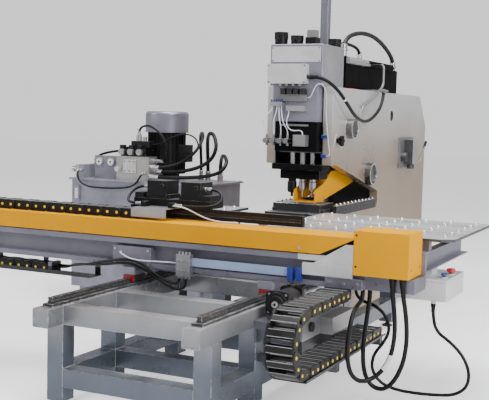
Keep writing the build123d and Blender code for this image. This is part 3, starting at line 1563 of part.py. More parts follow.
# Fan cowl: a thin round cover over the top of the motor with an air grille
with BuildPart() as fan_cowl:
    with BuildSketch(Plane.XY.offset(motor_top - 12)):
        with Locations((motor_x, motor_y)):
            Circle(cowl_radius)
    extrude(amount=cowl_top - motor_top + 12)
    fillet(faces().sort_by(Axis.Z)[-1].edges(), 26)
    with BuildSketch(Plane.XY.offset(motor_top - 13)):
        with Locations((motor_x, motor_y)):
            Circle(cowl_radius - 4)
    extrude(amount=cowl_top - motor_top - 12, mode=Mode.SUBTRACT)
    with BuildSketch(Plane.XY.offset(cowl_top)):
        with Locations((motor_x, motor_y)):
            for i in range(-4, 5):
                with Locations((0, i * 26)):
                    Rectangle(2 * math.sqrt(130**2 - (i * 26) ** 2), 9)
    extrude(amount=-40, mode=Mode.SUBTRACT)
    # Three lugs that rest on the motor body
    for i in range(3):
        turn = math.radians(90 + i * 120)
        lug_x = motor_x + (motor_radius - 4) * math.cos(turn)
        lug_y = motor_y + (motor_radius - 4) * math.sin(turn)
        rod((lug_x, lug_y, motor_top), (lug_x, lug_y, motor_top + 14), 21)
finish(fan_cowl.part, "fan_cowl")

# Motor shaft with its cooling fan
with BuildPart() as motor_rotor:
    rod((motor_x, motor_y, motor_top - 55), (motor_x, motor_y, motor_top + 70), 20)
    rod((motor_x, motor_y, motor_top + 20), (motor_x, motor_y, motor_top + 76), 38)
    with BuildSketch(Plane.XY.offset(motor_top + 24)):
        with Locations((motor_x, motor_y)):
            with PolarLocations(80, 8):
                Rectangle(100, 5)
    extrude(amount=46)
finish(motor_rotor.part, "motor_rotor")


def bend_radii(points):
    """The largest even radius for each corner of a route of straight runs."""
    runs = [Vector(*b) - Vector(*a) for a, b in zip(points, points[1:])]
    radii = []
    for before, after in zip(runs, runs[1:]):
        turn = math.radians(before.get_angle(after))
        radii.append(0.45 * min(before.length, after.length) / math.tan(turn / 2))
    return radii


def cord(label, points, radius):
    """A cord in the open part: straight runs joined by tangent arcs."""
    radii = bend_radii(points)
    with BuildLine() as route:
        FilletPolyline(*points, radius=radii)
    with BuildSketch(Plane(origin=route.line @ 0, z_dir=route.line % 0)) as section:
        Circle(radius)
    sweep(section.sketch, path=route.line)
    runs = [(Vector(*b) - Vector(*a)).length for a, b in zip(points, points[1:])]
    print(
        label,
        "length", round(route.wire().length),
        "smallest radius", round(min(radii)), "of", round(5 * 2 * radius),
        "longest run", round(max(runs)), "of", round(max(60, 30 * radius)),
        "run ratio", round(max(max(a / b, b / a) for a, b in zip(runs, runs[1:])), 1),
    )


conduit_route = (
    (conduit_gland_end, gland_y, conduit_gland_z),
    (182, gland_y, conduit_gland_z),
    (248, -332, 1808),
    (294, -250, 1742),
    (310, -120, 1656),
    (310, 20, 1586),
    (310, 180, 1548),
    (310, 330, 1552),
    (310, 470, 1594),
    (310, 586, 1652),
    (300, 664, 1706),
    conduit_clip,
)
booster_route_long = (
    (*long_port_front, long_port_top),
    (*long_port_front, 2104),
    (90, 388, 2150),
    (90, 470, 2188),
    (90, 610, 2218),
    (90, 790, 2236),
    (90, 1010, 2232),
    (90, 1220, 2198),
    (90, 1400, 2146),
    (90, 1520, 2094),
    (*long_port_rear, 2052),
    (*long_port_rear, long_port_rear_top),
)
booster_route_short = (
    (*short_port_front, short_port_top),
    (*short_port_front, 2084),
    (20, 412, 2116),
    (20, 484, 2132),
    (20, 580, 2140),
    (20, 690, 2138),
    (20, 790, 2130),
    (20, 864, 2114),
    (*short_port_rear, 2082),
    (*short_port_rear, short_port_top),
)
tank_routes = (
    (
        (*return_stubs[1], stub_top),
        (*return_stubs[1], 1150),
        (-1160, 576, 1282),
        (-1116, 490, 1386),
        (-1036, 384, 1432),
        (-950, 300, 1404),
        (-902, 246, 1310),
        (-940, 230, 1214),
        (-1050, 226, 1150),
        (-1190, 228, 1116),
        (-1320, 230, 1100),
        (port_end, *port_outer),
    ),
    (
        (*return_stubs[2], stub_top),
        (*return_stubs[2], 1120),
        (-1040, 590, 1196),
        (-966, 470, 1246),
        (-872, 340, 1244),
        (-800, 232, 1196),
        (-826, 176, 1124),
        (-940, 168, 1090),
        (-1080, 172, 1074),
        (-1220, 176, 1066),
        (-1340, 178, 1062),
        (port_end, *port_inner),
    ),
    (
        (port_end, *port_return),
        (-1378, *port_return),
        (-1290, 186, 1150),
        (-1190, 198, 1186),
        (-1110, 224, 1244),
        (-1070, 268, 1316),
        (-1072, 330, 1380),
        (-1112, 404, 1420),
        (-1170, 480, 1424),
        (-1220, 554, 1390),
        (-1246, 612, 1316),
        (-1254, 636, 1230),
        (*return_stubs[0], 1140),
        (*return_stubs[0], stub_top),
    ),
    (
        (-2100, 330, 1134),
        (-2100, 330, 1176),
        (-2070, 342, 1212),
        (-1996, 364, 1236),
        (-1894, 384, 1252),
        (-1800, 398, 1266),
        (-1732, 388, 1262),
        (-1700, 346, 1258),
        (-1700, 286, 1258),
    ),
    (
        (-2100, 112, 1090),
        (-2100, 84, 1090),
        (-2098, 66, 1064),
        (-2086, 62, 1018),
        (-2046, 62, 980),
        (-1976, 64, 960),
        (-1880, 66, 956),
        (-1770, 68, 958),
        (-1650, 68, 966),
        (-1566, 68, 984),
        (-1520, 68, 1020),
        (-1504, 82, 1062),
        (-1500, 116, 1085),
        (-1500, 150, 1085),
    ),
    (
        (-1600, 215, 1392),
        (-1600, 215, 1430),
        (-1568, 204, 1462),
        (-1504, 188, 1474),
        (-1428, 172, 1452),
        (-1360, 168, 1402),
        (-1324, 172, 1334),
        (-1322, 192, 1262),
        (-1342, 226, 1206),
        (-1386, *port_rear),
        (port_end, *port_rear),
    ),
    (
        (-1262, 450, 1250),
        (-1212, 450, 1250),
        (-1166, 430, 1296),
        (-1150, 384, 1358),
        (-1168, 324, 1402),
        (-1222, 276, 1414),
        (-1292, 246, 1390),
        (-1360, 222, 1348),
        (-1416, 205, 1320),
        (-1470, 205, 1320),
    ),
)
tank_hose_radii = (15, 15, 12, 10, 8, 9, 6)
clamp_routes = (
    (
        (-486, -1400, 1122),
        (-530, -1400, 1122),
        (-584, -1416, 1108),
        (-608, -1458, 1066),
        (-592, -1504, 1032),
        (-538, -1520, 1023),
        (-470, -1520, 1023),
    ),
    (
        (-118, -1400, 1122),
        (-66, -1400, 1122),
        (-4, -1412, 1112),
        (30, -1442, 1074),
        (10, -1482, 1036),
        (-56, -1510, 1024),
        (-146, -1520, 1023),
        (-250, -1520, 1023),
    ),
    (
        (-250, -1540, 1023),
        (-212, -1540, 1023),
        (-156, -1532, 1010),
        (-104, -1512, 982),
        (-46, -1494, 956),
        (16, -1488, 945),
        (84, -1486, 943),
        (150, -1484, 944),
    ),
)
clamp_hose_radii = (8, 8, 4)
gantry_routes = (
    (
        (1150, -1680, box_bottom),
        (1150, -1680, 676),
        (1164, -1664, 556),
        (1162, -1640, 424),
        (1134, -1620, 300),
        (1074, -1626, 206),
        (1004, -1690, 172),
        (972, -1786, 236),
        (972, -1846, 360),
        (982, -1846, 490),
        (984, -1800, 566),
        (982, -1734, 592),
        (980, -1676, 600),
        (980, -1646, 626),
        (980, -1646, saddle_top),
    ),
    (
        (1205, -1680, box_bottom),
        (1205, -1680, 676),
        (1224, -1660, 554),
        (1226, -1632, 414),
        (1204, -1608, 290),
        (1160, -1592, 190),
        (1106, -1586, 128),
        (1046, -1588, 124),
        (1000, -1594, 168),
        (980, -1602, 246),
        (978, -1604, 352),
        (988, -1602, 460),
        (999, -1600, 562),
        (1005, -1600, 620),
        (1005, -1600, saddle_top),
    ),
    (
        (1290, -1375, control_bottom - 22),
        (1290, -1375, 500),
        (1316, -1378, 424),
        (1390, -1384, 382),
        (1464, -1390, 318),
        (1506, -1396, 232),
        (1498, -1402, 150),
        (1434, -1406, 100),
        (1340, -1408, 86),
        (1223, -1412, 80),
        (1104, -1420, 86),
        (1020, -1436, 120),
        (976, -1450, 196),
        (994, -1460, 282),
        (1048, -1470, 348),
        (1086, -1480, 426),
        (1064, -1490, 506),
        (1000, -1498, 558),
        (928, -1500, 572),
        (886, -1500, 612),
        (886, -1500, saddle_top),
    ),
)
gantry_cable_radii = (12, 12, 9)
beam_routes = (
    (
        (-1070, -1580, 592),
        (-1010, -1580, 592),
        (-940, -1614, 608),
        (-870, -1668, 634),
        (-790, -1706, 650),
        (-690, -1714, 655),
        (-590, -1718, 666),
        (-500, -1722, 684),
        (-400, -1722, 686),
        (-310, -1718, 650),
        (-230, -1714, 604),
        (-160, -1714, 572),
        (-96, -1714, 562),
        (-56, -1714, 584),
        (-56, -1714, valve_port_end),
    ),
    (
        (-1070, -1550, 600),
        (-1006, -1550, 600),
        (-930, -1590, 614),
        (-850, -1656, 632),
        (-770, -1704, 648),
        (-670, -1712, 668),
        (-566, -1716, 690),
        (-460, -1722, 710),
        (-360, -1722, 700),
        (-290, -1716, 654),
        (-226, -1714, 622),
        (-162, -1714, 598),
        (-100, -1714, 596),
        (-100, -1714, valve_port_end),
    ),
    (
        (valve_block_x[0], -1714, 716),
        (-152, -1714, 716),
        (-224, -1730, 716),
        (-300, -1738, 714),
        (-376, -1739, 714),
        (-440, -1736, 724),
        (-480, -1731, 742),
        (-502, -1722, 750),
        (-502, -1702, 750),
    ),
)
beam_cable_radii = (7, 7, 4)
air_routes = (
    (
        (96, -348, 1700),
        (118, -348, 1700),
        (138, -354, 1742),
        (162, -360, 1786),
        (196, -352, 1802),
        (214, -326, 1770),
        (216, -294, 1706),
        (206, -270, 1624),
        (208, -262, 1540),
        (218, -260, 1456),
        (226, -258, 1380),
        (236, -256, 1330),
        (230, -254, 1304),
        (212, -254, 1304),
    ),
    (
        (-30, fitting_y, 1608),
        (-30, fitting_y, 1582),
        (-44, fitting_y - 6, 1546),
        (-36, fitting_y - 12, 1506),
        (-12, fitting_y - 14, 1480),
        (20, fitting_y - 10, 1472),
        (52, fitting_y - 4, 1478),
        (76, fitting_y, 1470),
        (76, fitting_y, 1446),
    ),
    (
        (-86, fitting_y, 1640),
        (-86, fitting_y, 1610),
        (-76, fitting_y - 6, 1560),
        (-62, fitting_y - 8, 1516),
        (-34, fitting_y, 1478),
        (-34, fitting_y, 1446),
    ),
    (
        (-120, fitting_y, 1640),
        (-120, fitting_y, 1610),
        (-134, fitting_y - 6, 1566),
        (-140, fitting_y - 8, 1522),
        (-138, fitting_y, 1482),
        (-138, fitting_y, 1446),
    ),
    (
        (-152, fitting_y, 1640),
        (-152, fitting_y, 1618),
        (-176, fitting_y - 14, 1590),
        (-204, fitting_y - 20, 1552),
        (-212, fitting_y - 20, 1510),
        (-190, fitting_y, 1478),
        (-190, fitting_y, 1446),
    ),
    (
        (-104, fitting_y, 1640),
        (-104, fitting_y, 1606),
        (-98, fitting_y - 8, 1560),
        (-84, fitting_y - 12, 1514),
        (-86, fitting_y, 1478),
        (-86, fitting_y, 1446),
    ),
)
with BuildPart() as head_conduit:
    cord("head_conduit", conduit_route, 12)
finish(head_conduit.part, "head_conduit")
with BuildPart() as head_air_tubes:
    for i, route in enumerate(air_routes):
        cord(f"air_tube_{i}", route, 3.5)
finish(head_air_tubes.part, "head_air_tubes")
with BuildPart() as booster_hoses:
    cord("booster_hose_long", booster_route_long, 17)
    cord("booster_hose_short", booster_route_short, 12)
finish(booster_hoses.part, "booster_hoses")
with BuildPart() as tank_hoses:
    for i, route in enumerate(tank_routes):
        cord(f"tank_hose_{i}", route, tank_hose_radii[i])
finish(tank_hoses.part, "tank_hoses")
with BuildPart() as clamp_hoses:
    for i, route in enumerate(clamp_routes):
        cord(f"clamp_hose_{i}", route, clamp_hose_radii[i])
finish(clamp_hoses.part, "clamp_hoses")
with BuildPart() as gantry_cables:
    for i, route in enumerate(gantry_routes):
        cord(f"gantry_cable_{i}", route, gantry_cable_radii[i])
finish(gantry_cables.part, "gantry_cables")
with BuildPart() as beam_cables:
    for i, route in enumerate(beam_routes):
        cord(f"beam_cable_{i}", route, beam_cable_radii[i])
finish(beam_cables.part, "beam_cables")
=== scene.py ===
# %% [markdown]
# A hydraulic plate punch stands on a workshop floor. At the rear is a press frame shaped like
# a letter C, with three punches under its head. In front of it a welded bed carries a gantry,
# which holds the sheet in two clamps and feeds it under the punches.
# The CAD model is loaded first. It gives every rigid piece its place and its true size, so
# this file adds finishes, hoses and the small things that are too fine for the CAD model.

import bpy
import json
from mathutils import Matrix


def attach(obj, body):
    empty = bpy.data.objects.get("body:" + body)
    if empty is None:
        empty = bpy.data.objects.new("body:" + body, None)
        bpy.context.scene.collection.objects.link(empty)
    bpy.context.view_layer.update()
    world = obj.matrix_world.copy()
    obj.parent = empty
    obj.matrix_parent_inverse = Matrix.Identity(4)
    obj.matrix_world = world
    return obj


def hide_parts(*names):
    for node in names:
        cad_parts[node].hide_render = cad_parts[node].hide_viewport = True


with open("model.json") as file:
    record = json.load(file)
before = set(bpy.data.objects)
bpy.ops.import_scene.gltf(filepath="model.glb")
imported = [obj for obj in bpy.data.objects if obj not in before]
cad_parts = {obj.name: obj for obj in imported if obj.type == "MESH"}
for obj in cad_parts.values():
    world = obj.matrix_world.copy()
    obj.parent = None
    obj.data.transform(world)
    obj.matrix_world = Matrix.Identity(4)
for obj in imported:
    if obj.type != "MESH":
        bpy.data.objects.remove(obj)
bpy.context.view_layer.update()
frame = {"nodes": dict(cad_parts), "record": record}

# %% [markdown]
# Blender's own modules come next. The frame says which CAD pieces there are and which body
# each one rides on.

# %% Modules and lists of the frame
import json
import math

import bmesh
import bpy
from mathutils import Matrix, Vector

nodes = frame["nodes"]
body_of_node = {n: b for b, members in frame["record"]["behaviour"]["bodies"].items() for n in members}

# %% [markdown]
# The camera stands where the photographer stood, in front of the machine and to its right.
# It looks slightly down and leans by a degree and a half, which the edges of the machine show.
# A long lens keeps the bed and the press frame in proportion. The three directions of the
# camera are worked out as vectors, because that is easier to follow than three turns in a row.

# %% Camera
turn, pitch_down, lean = (math.radians(a) for a in (25.9, 4.857, 1.447))
camera_place = (2.603, -6.4505, 1.55)
focal_length, sensor_width = 70.785, 36
looks = Vector((
    -math.sin(turn) * math.cos(pitch_down),
    math.cos(turn) * math.cos(pitch_down),
    -math.sin(pitch_down),
))
level = Vector((math.cos(turn), math.sin(turn), 0))
upright = level.cross(looks)
to_right = level * math.cos(lean) + upright * math.sin(lean)
to_top = upright * math.cos(lean) - level * math.sin(lean)
lens = bpy.data.cameras.new("camera")
lens.lens = focal_length
lens.sensor_width = sensor_width
lens.clip_end = 60
camera = bpy.data.objects.new("camera", lens)
bpy.context.collection.objects.link(camera)
facing = Matrix((to_right, to_top, -looks)).transposed().to_4x4()
camera.matrix_world = Matrix.Translation(camera_place) @ facing
bpy.context.scene.camera = camera
print("camera looks along", tuple(round(v, 3) for v in looks))

# %% [markdown]
# A material in Blender is a tree of nodes. Making one by hand takes many lines, so a few
# helpers keep them short: one feeds a socket with a number or a link, one makes a node and
# fills it in, one does a sum and one mixes two colours or two values by a mask.


# %% Node helpers
def feed(tree, socket, value):
    """Links another node's output to the socket, or sets the socket's own value."""
    if isinstance(value, bpy.types.NodeSocket):
        tree.links.new(value, socket)
    else:
        socket.default_value = value


def put(tree, kind, sockets=(), **settings):
    """One node in the tree, with its settings and sockets filled in."""
    made = tree.nodes.new(kind)
    for key, value in settings.items():
        setattr(made, key, value)
    for key, value in dict(sockets).items():
        feed(tree, made.inputs[key], value)
    return made


def reckon(tree, operation, *values, clamp=False):
    """The output of a Math node."""
    made = put(tree, "ShaderNodeMath", dict(enumerate(values)), operation=operation, use_clamp=clamp)
    return made.outputs[0]


def mix_colours(tree, share, first, second, mode="MIX"):
    """The output of a Mix node for colours."""
    made = put(tree, "ShaderNodeMix", data_type="RGBA", blend_type=mode)
    for socket, value in ((0, share), (6, first), (7, second)):
        feed(tree, made.inputs[socket], value)
    return made.outputs[2]


def mix_values(tree, share, first, second):
    """The output of a Mix node for plain numbers."""
    made = put(tree, "ShaderNodeMix", data_type="FLOAT")
    for socket, value in ((0, share), (2, first), (3, second)):
        feed(tree, made.inputs[socket], value)
    return made.outputs[0]


# %% [markdown]
# A product photograph of a machine this size is taken on a pale, plain floor, which sends light
# back into the shadows. The floor has to look brighter to the camera than it shines on the
# machine, and the Light Path node tells the two apart.


# %% Floor
floor_roughness = 0.85


def stage_floor(name, half, colour, glow):
    """A flat pale sheet of the studio that glows only for the camera."""
    mesh = bpy.data.meshes.new(name)
    corners = [(-half, -half, 0), (half, -half, 0), (half, half, 0), (-half, half, 0)]
    mesh.from_pydata(corners, [], [(0, 1, 2, 3)])
    floor = bpy.data.objects.new(name, mesh)
    bpy.context.collection.objects.link(floor)
    paint = bpy.data.materials.new(name)
    paint.use_nodes = True
    tree = paint.node_tree
    shader = tree.nodes["Principled BSDF"]
    shader.inputs["Base Color"].default_value = (*colour, 1)
    shader.inputs["Roughness"].default_value = floor_roughness
    shader.inputs["Emission Color"].default_value = (1, 1, 1, 1)
    seen = put(tree, "ShaderNodeLightPath").outputs["Is Camera Ray"]
    tree.links.new(reckon(tree, "MULTIPLY", seen, glow), shader.inputs["Emission Strength"])
    mesh.materials.append(paint)
    return floor


print("floor", stage_floor("studio_floor", 40, (0.95, 0.95, 0.95), 0.55).name)

# %% [markdown]
# The light comes from large soft panels: one in front and to the right, one on the left and one
# above. The background is white, and like the floor it is brighter for the camera than for the
# machine.


# %% Lights and background
def panel(name, place, aim, size, power):
    """A large soft light that faces a point of the machine."""
    lamp = bpy.data.lights.new(name, "AREA")
    lamp.shape = "RECTANGLE"
    lamp.size, lamp.size_y = size
    lamp.energy = power
    holder = bpy.data.objects.new(name, lamp)
    bpy.context.collection.objects.link(holder)
    holder.location = place
    holder.rotation_euler = (Vector(aim) - Vector(place)).to_track_quat("-Z", "Y").to_euler()
    return holder


panel("key_light", (6.6, -4.2, 4.4), (0, -0.6, 0.8), (3.6, 2.4), 500)
panel("left_light", (-6.5, -4.5, 4.0), (-0.5, -0.5, 0.8), (3.0, 2.4), 150)
panel("top_light", (0.0, -0.5, 6.0), (0, -0.5, 0), (4.5, 4.0), 460)
sky_as_light, sky_as_seen = 0.55, 1.1
world = bpy.data.worlds.new("studio")
bpy.context.scene.world = world
world.use_nodes = True
sky = world.node_tree.nodes["Background"]
sky.inputs["Color"].default_value = (1, 1, 1, 1)
seen = put(world.node_tree, "ShaderNodeLightPath").outputs["Is Camera Ray"]
strength = put(
    world.node_tree, "ShaderNodeMapRange", {0: seen, "To Min": sky_as_light, "To Max": sky_as_seen}
)
world.node_tree.links.new(strength.outputs[0], sky.inputs["Strength"])

# %% [markdown]
# Every finish of the machine is built from the same few effects, so each effect is a node
# group of its own, with named inputs. A group gives out only masks, values and normals. The
# shader itself stays in the material, because the export can't read it inside a group.


# %% Empty group
def new_group(name, inputs, outputs):
    """An empty node group with named sockets: (group, its inputs, its output node)."""
    group = bpy.data.node_groups.new(name, "ShaderNodeTree")
    for label, kind, value in inputs:
        socket = group.interface.new_socket(label, in_out="INPUT", socket_type=kind)
        socket.default_value = value
    for label, kind in outputs:
        group.interface.new_socket(label, in_out="OUTPUT", socket_type=kind)
    entry = group.nodes.new("NodeGroupInput")
    leave = group.nodes.new("NodeGroupOutput")
    return group, entry.outputs, leave.inputs


# %% [markdown]
# Handled steel is never even. Cloudy patches about a hand's span wide come from a slow noise,
# and fine grain from a fast one. A stretch of the coordinates turns the grain into the long
# strokes of a ground or brushed face.

# %% Group: clouded grain
clouds, given, result = new_group(
    "clouded_grain",
    [
        ("Cloud Scale", "NodeSocketFloat", 6.0),
        ("Grain Scale", "NodeSocketFloat", 260.0),
        ("Stretch", "NodeSocketVector", (1, 1, 1)),
    ],
    [("Cloud", "NodeSocketFloat"), ("Grain", "NodeSocketFloat")],
)
place = put(clouds, "ShaderNodeTexCoord").outputs["Object"]
stretched = put(clouds, "ShaderNodeVectorMath", {0: place, 1: given["Stretch"]}, operation="MULTIPLY")
cloud = put(
    clouds,
    "ShaderNodeTexNoise",
    {"Vector": stretched.outputs[0], "Scale": given["Cloud Scale"], "Detail": 5.0, "Roughness": 0.6},
)
grain = put(
    clouds,
    "ShaderNodeTexNoise",
    {"Vector": stretched.outputs[0], "Scale": given["Grain Scale"], "Detail": 2.0},
)
wide = put(clouds, "ShaderNodeMapRange", {"Value": cloud.outputs["Fac"], "From Min": 0.32, "From Max": 0.68})
clouds.links.new(wide.outputs[0], result["Cloud"])
clouds.links.new(grain.outputs["Fac"], result["Grain"])
print("group", clouds.name)

# %% [markdown]
# Paint wears first along edges and corners, and machined edges catch the light. The Bevel node
# looks round each point for an edge, so where its normal differs from the true one there is an
# edge. A noise breaks the line up, as knocks do on the real machine.

# %% Group: edge wear
wear, given, result = new_group(
    "edge_wear",
    [("Radius", "NodeSocketFloat", 0.004), ("Strength", "NodeSocketFloat", 4.0)],
    [("Mask", "NodeSocketFloat"), ("Normal", "NodeSocketVector")],
)
place = put(wear, "ShaderNodeTexCoord").outputs["Object"]
rounded = put(wear, "ShaderNodeBevel", {"Radius": given["Radius"]}, samples=4)
straight = put(wear, "ShaderNodeNewGeometry").outputs["True Normal"]
likeness = put(wear, "ShaderNodeVectorMath", {0: rounded.outputs[0], 1: straight}, operation="DOT_PRODUCT")
edge = reckon(wear, "SUBTRACT", 1.0, likeness.outputs["Value"])
knocks = put(wear, "ShaderNodeTexNoise", {"Vector": place, "Scale": 38.0, "Detail": 3.0}).outputs["Fac"]
broken = put(wear, "ShaderNodeMapRange", {"Value": knocks, "From Min": 0.42, "From Max": 0.62}).outputs[0]
strong = reckon(wear, "MULTIPLY", edge, given["Strength"])
wear.links.new(reckon(wear, "MULTIPLY", strong, broken, clamp=True), result["Mask"])
wear.links.new(rounded.outputs[0], result["Normal"])
print("group", wear.name)

# %% [markdown]
# Dust and oil settle on whatever faces up, most of all low down and in corners. The mask is the
# upward part of the surface's normal, broken by a slow noise.

# %% Group: settled dust
dust, given, result = new_group(
    "settled_dust", [("Amount", "NodeSocketFloat", 0.4)], [("Mask", "NodeSocketFloat")]
)
place = put(dust, "ShaderNodeTexCoord").outputs["Object"]
faces = put(dust, "ShaderNodeSeparateXYZ", {0: put(dust, "ShaderNodeNewGeometry").outputs["Normal"]})
patches = put(dust, "ShaderNodeTexNoise", {"Vector": place, "Scale": 9.0, "Detail": 6.0}).outputs["Fac"]
patchy = put(dust, "ShaderNodeMapRange", {"Value": patches, "From Min": 0.35, "From Max": 0.75}).outputs[0]
upward = reckon(dust, "MAXIMUM", faces.outputs["Z"], 0.0)
lying = reckon(dust, "MULTIPLY", reckon(dust, "MULTIPLY", upward, patchy), given["Amount"], clamp=True)
dust.links.new(lying, result["Mask"])
print("group", dust.name)

# %% [markdown]
# Some CAD pieces carry two finishes, such as a table with bright faces and edges painted dark
# as shade, or a head with a bare plate on it. A box in the machine's own frame picks out the part
# that is different. The mask is one where a point lies inside all six sides of the box.

# %% Group: box zone
zone, given, result = new_group(
    "box_zone",
    [("Low", "NodeSocketVector", (0, 0, 0)), ("High", "NodeSocketVector", (1, 1, 1))],
    [("Mask", "NodeSocketFloat")],
)
place = put(zone, "ShaderNodeTexCoord").outputs["Object"]
above = put(zone, "ShaderNodeVectorMath", {0: place, 1: given["Low"]}, operation="SUBTRACT").outputs[0]
below = put(zone, "ShaderNodeVectorMath", {0: given["High"], 1: place}, operation="SUBTRACT").outputs[0]
nearest_side = put(zone, "ShaderNodeVectorMath", {0: above, 1: below}, operation="MINIMUM")
parts = put(zone, "ShaderNodeSeparateXYZ", {0: nearest_side.outputs[0]}).outputs
least = reckon(zone, "MINIMUM", reckon(zone, "MINIMUM", parts["X"], parts["Y"]), parts["Z"])
zone.links.new(reckon(zone, "GREATER_THAN", least, 0.0), result["Mask"])
print("group", zone.name)

# %% [markdown]
# One function mixes the effects into a finish. It takes the clean colour, how much the cloudy
# patches change it, the colour that shows where it is worn, a darker colour low down that is
# painted shade, and zones: named boxes that each have a surface of their own, which is a colour,
# a roughness and how metallic it is. Writing it once keeps each of about fifty finishes to a few lines.


# %% Finish maker
dust_colour = (0.50, 0.49, 0.48, 1)
grain_depth = 0.0006
coat_roughness = 0.12


def finish(
    name,
    colour,
    roughness,
    metallic=0.0,
    clouded=0.12,
    uneven=0.12,
    bump=0.06,
    worn=(0.62, 0.62, 0.64),
    wear_amount=2.0,
    wear_radius=0.003,
    dusty=0.25,
    coat=0.0,
    stretch=(1, 1, 1),
    cloud_scale=6.0,
    grain_scale=260.0,
    gloss=0.5,
    shade_low_down=None,
    zones=None,
):
    """A painted or machined surface with patches, grain, worn edges and dust."""
    made = bpy.data.materials.new(name)
    made.use_nodes = True
    tree = made.node_tree
    shader = tree.nodes["Principled BSDF"]
    grainy = put(
        tree,
        "ShaderNodeGroup",
        {"Cloud Scale": cloud_scale, "Grain Scale": grain_scale, "Stretch": stretch},
        node_tree=clouds,
    ).outputs
    edges = put(
        tree, "ShaderNodeGroup", {"Radius": wear_radius, "Strength": wear_amount}, node_tree=wear
    ).outputs
    lying = put(tree, "ShaderNodeGroup", {"Amount": dusty}, node_tree=dust).outputs
    clean, rough, metal = (*colour, 1), roughness, metallic
    # Below a given height the colour blends into a darker one: painted shade low down.
    if shade_low_down:
        low, high, shade_colour = shade_low_down
        place = put(tree, "ShaderNodeTexCoord").outputs["Object"]
        height = put(tree, "ShaderNodeSeparateXYZ", {0: place}).outputs["Z"]
        share = put(tree, "ShaderNodeMapRange", {"Value": height, "From Min": low, "From Max": high})
        clean = mix_colours(tree, share.outputs[0], (*shade_colour, 1), clean)
    for low, high, (zone_colour, zone_rough, zone_metal) in (zones or {}).values():
        mask = put(tree, "ShaderNodeGroup", {"Low": low, "High": high}, node_tree=zone).outputs["Mask"]
        clean = mix_colours(tree, mask, clean, (*zone_colour, 1))
        rough = mix_values(tree, mask, rough, zone_rough)
        metal = mix_values(tree, mask, metal, zone_metal)
    tint_range = {"Value": grainy["Cloud"], "To Min": 1 - clouded, "To Max": 1 + clouded}
    tint = put(tree, "ShaderNodeMapRange", tint_range).outputs[0]
    patched = mix_colours(tree, 1.0, clean, tint, mode="MULTIPLY")
    used = mix_colours(tree, edges["Mask"], patched, (*worn, 1))
    seen = mix_colours(tree, lying["Mask"], used, dust_colour)
    varied = reckon(tree, "MULTIPLY", reckon(tree, "SUBTRACT", grainy["Cloud"], 0.5), uneven)
    relief = put(
        tree,
        "ShaderNodeBump",
        {"Height": grainy["Grain"], "Strength": bump, "Distance": grain_depth, "Normal": edges["Normal"]},
    )
    feed(tree, shader.inputs["Base Color"], seen)
    feed(tree, shader.inputs["Roughness"], reckon(tree, "ADD", rough, varied, clamp=True))
    feed(tree, shader.inputs["Metallic"], metal)
    feed(tree, shader.inputs["Coat Weight"], coat)
    feed(tree, shader.inputs["Coat Roughness"], coat_roughness)
    feed(tree, shader.inputs["Specular IOR Level"], gloss)
    feed(tree, shader.inputs["Normal"], relief.outputs[0])
    return made


def dress(material, *names):
    """Gives the CAD pieces this finish."""
    for name in names:
        piece = nodes[name]
        piece.data.materials.clear()
        piece.data.materials.append(material)
    print(material.name, "on", ", ".join(names))


# %% [markdown]
# Some surfaces are named here, and the zones of the finishes below use the names. Each is a
# colour, a roughness and how metallic it is. Colours are linear, so half grey is about 0.2.

# %% Surfaces
bare_steel = ((0.50, 0.50, 0.51), 0.3, 0.9)
ground_steel = ((0.55, 0.55, 0.56), 0.25, 0.95)
bright_fitting = ((0.55, 0.55, 0.56), 0.3, 0.8)
dull_alloy = ((0.30, 0.30, 0.31), 0.3, 0.8)
# The dark sides of the bosses are painted shade.
boss_side_shade = ((0.17, 0.17, 0.17), 0.3, 0.9)
oiled_strip = ((0.05, 0.05, 0.055), 0.45, 0.3)
seal_red = ((0.30, 0.008, 0.012), 0.4, 0.0)
fitting_blue = ((0.31, 0.41, 0.63), 0.35, 0.1)
near_black = (0.007, 0.007, 0.008)
print("bare steel", bare_steel)

# %% [markdown]
# The bed is welded from square tube and painted a thin grey with a metallic sheen. Towards the
# floor its colour turns a dark blue grey, which is painted shade on the legs under the upper
# tubes. The strips under the rails are ground steel, dark with oil.

# %% Bed finishes
strip_low, strip_high = 0.554, 0.600
bed_paint = finish(
    "bed_paint", (0.31, 0.31, 0.325), 0.32, metallic=0.6, clouded=0.34, uneven=0.4, bump=0.1,
    worn=(0.72, 0.72, 0.74), wear_amount=3.2, wear_radius=0.007, dusty=0.4, cloud_scale=1.5,
    # The darker blue grey low down is painted shade.
    shade_low_down=(0.30, 0.56, (0.115, 0.13, 0.165)),
    zones={
        "left rail strip": ((-0.474, -2.5, strip_low), (-0.406, 0.6, strip_high), oiled_strip),
        "right rail strip": ((0.406, -2.5, strip_low), (0.474, 0.6, strip_high), oiled_strip),
    },
)
dress(bed_paint, "bed_frame")
dress(finish("foot_black", (0.03, 0.03, 0.032), 0.5, metallic=0.3), "levelling_feet")
rail_steel = finish(
    "rail_steel", (0.055, 0.055, 0.06), 0.3, metallic=0.5, clouded=0.2, worn=(0.85, 0.85, 0.85),
    wear_amount=5.0, wear_radius=0.003, stretch=(1, 0.06, 1), grain_scale=500.0, dusty=0.1,
)
dress(rail_steel, "y_rails")
bracket_grey = finish("bracket_grey", (0.13, 0.13, 0.16), 0.4, metallic=0.5, clouded=0.2, dusty=0.3)
dress(bracket_grey, "y_motor_bracket")
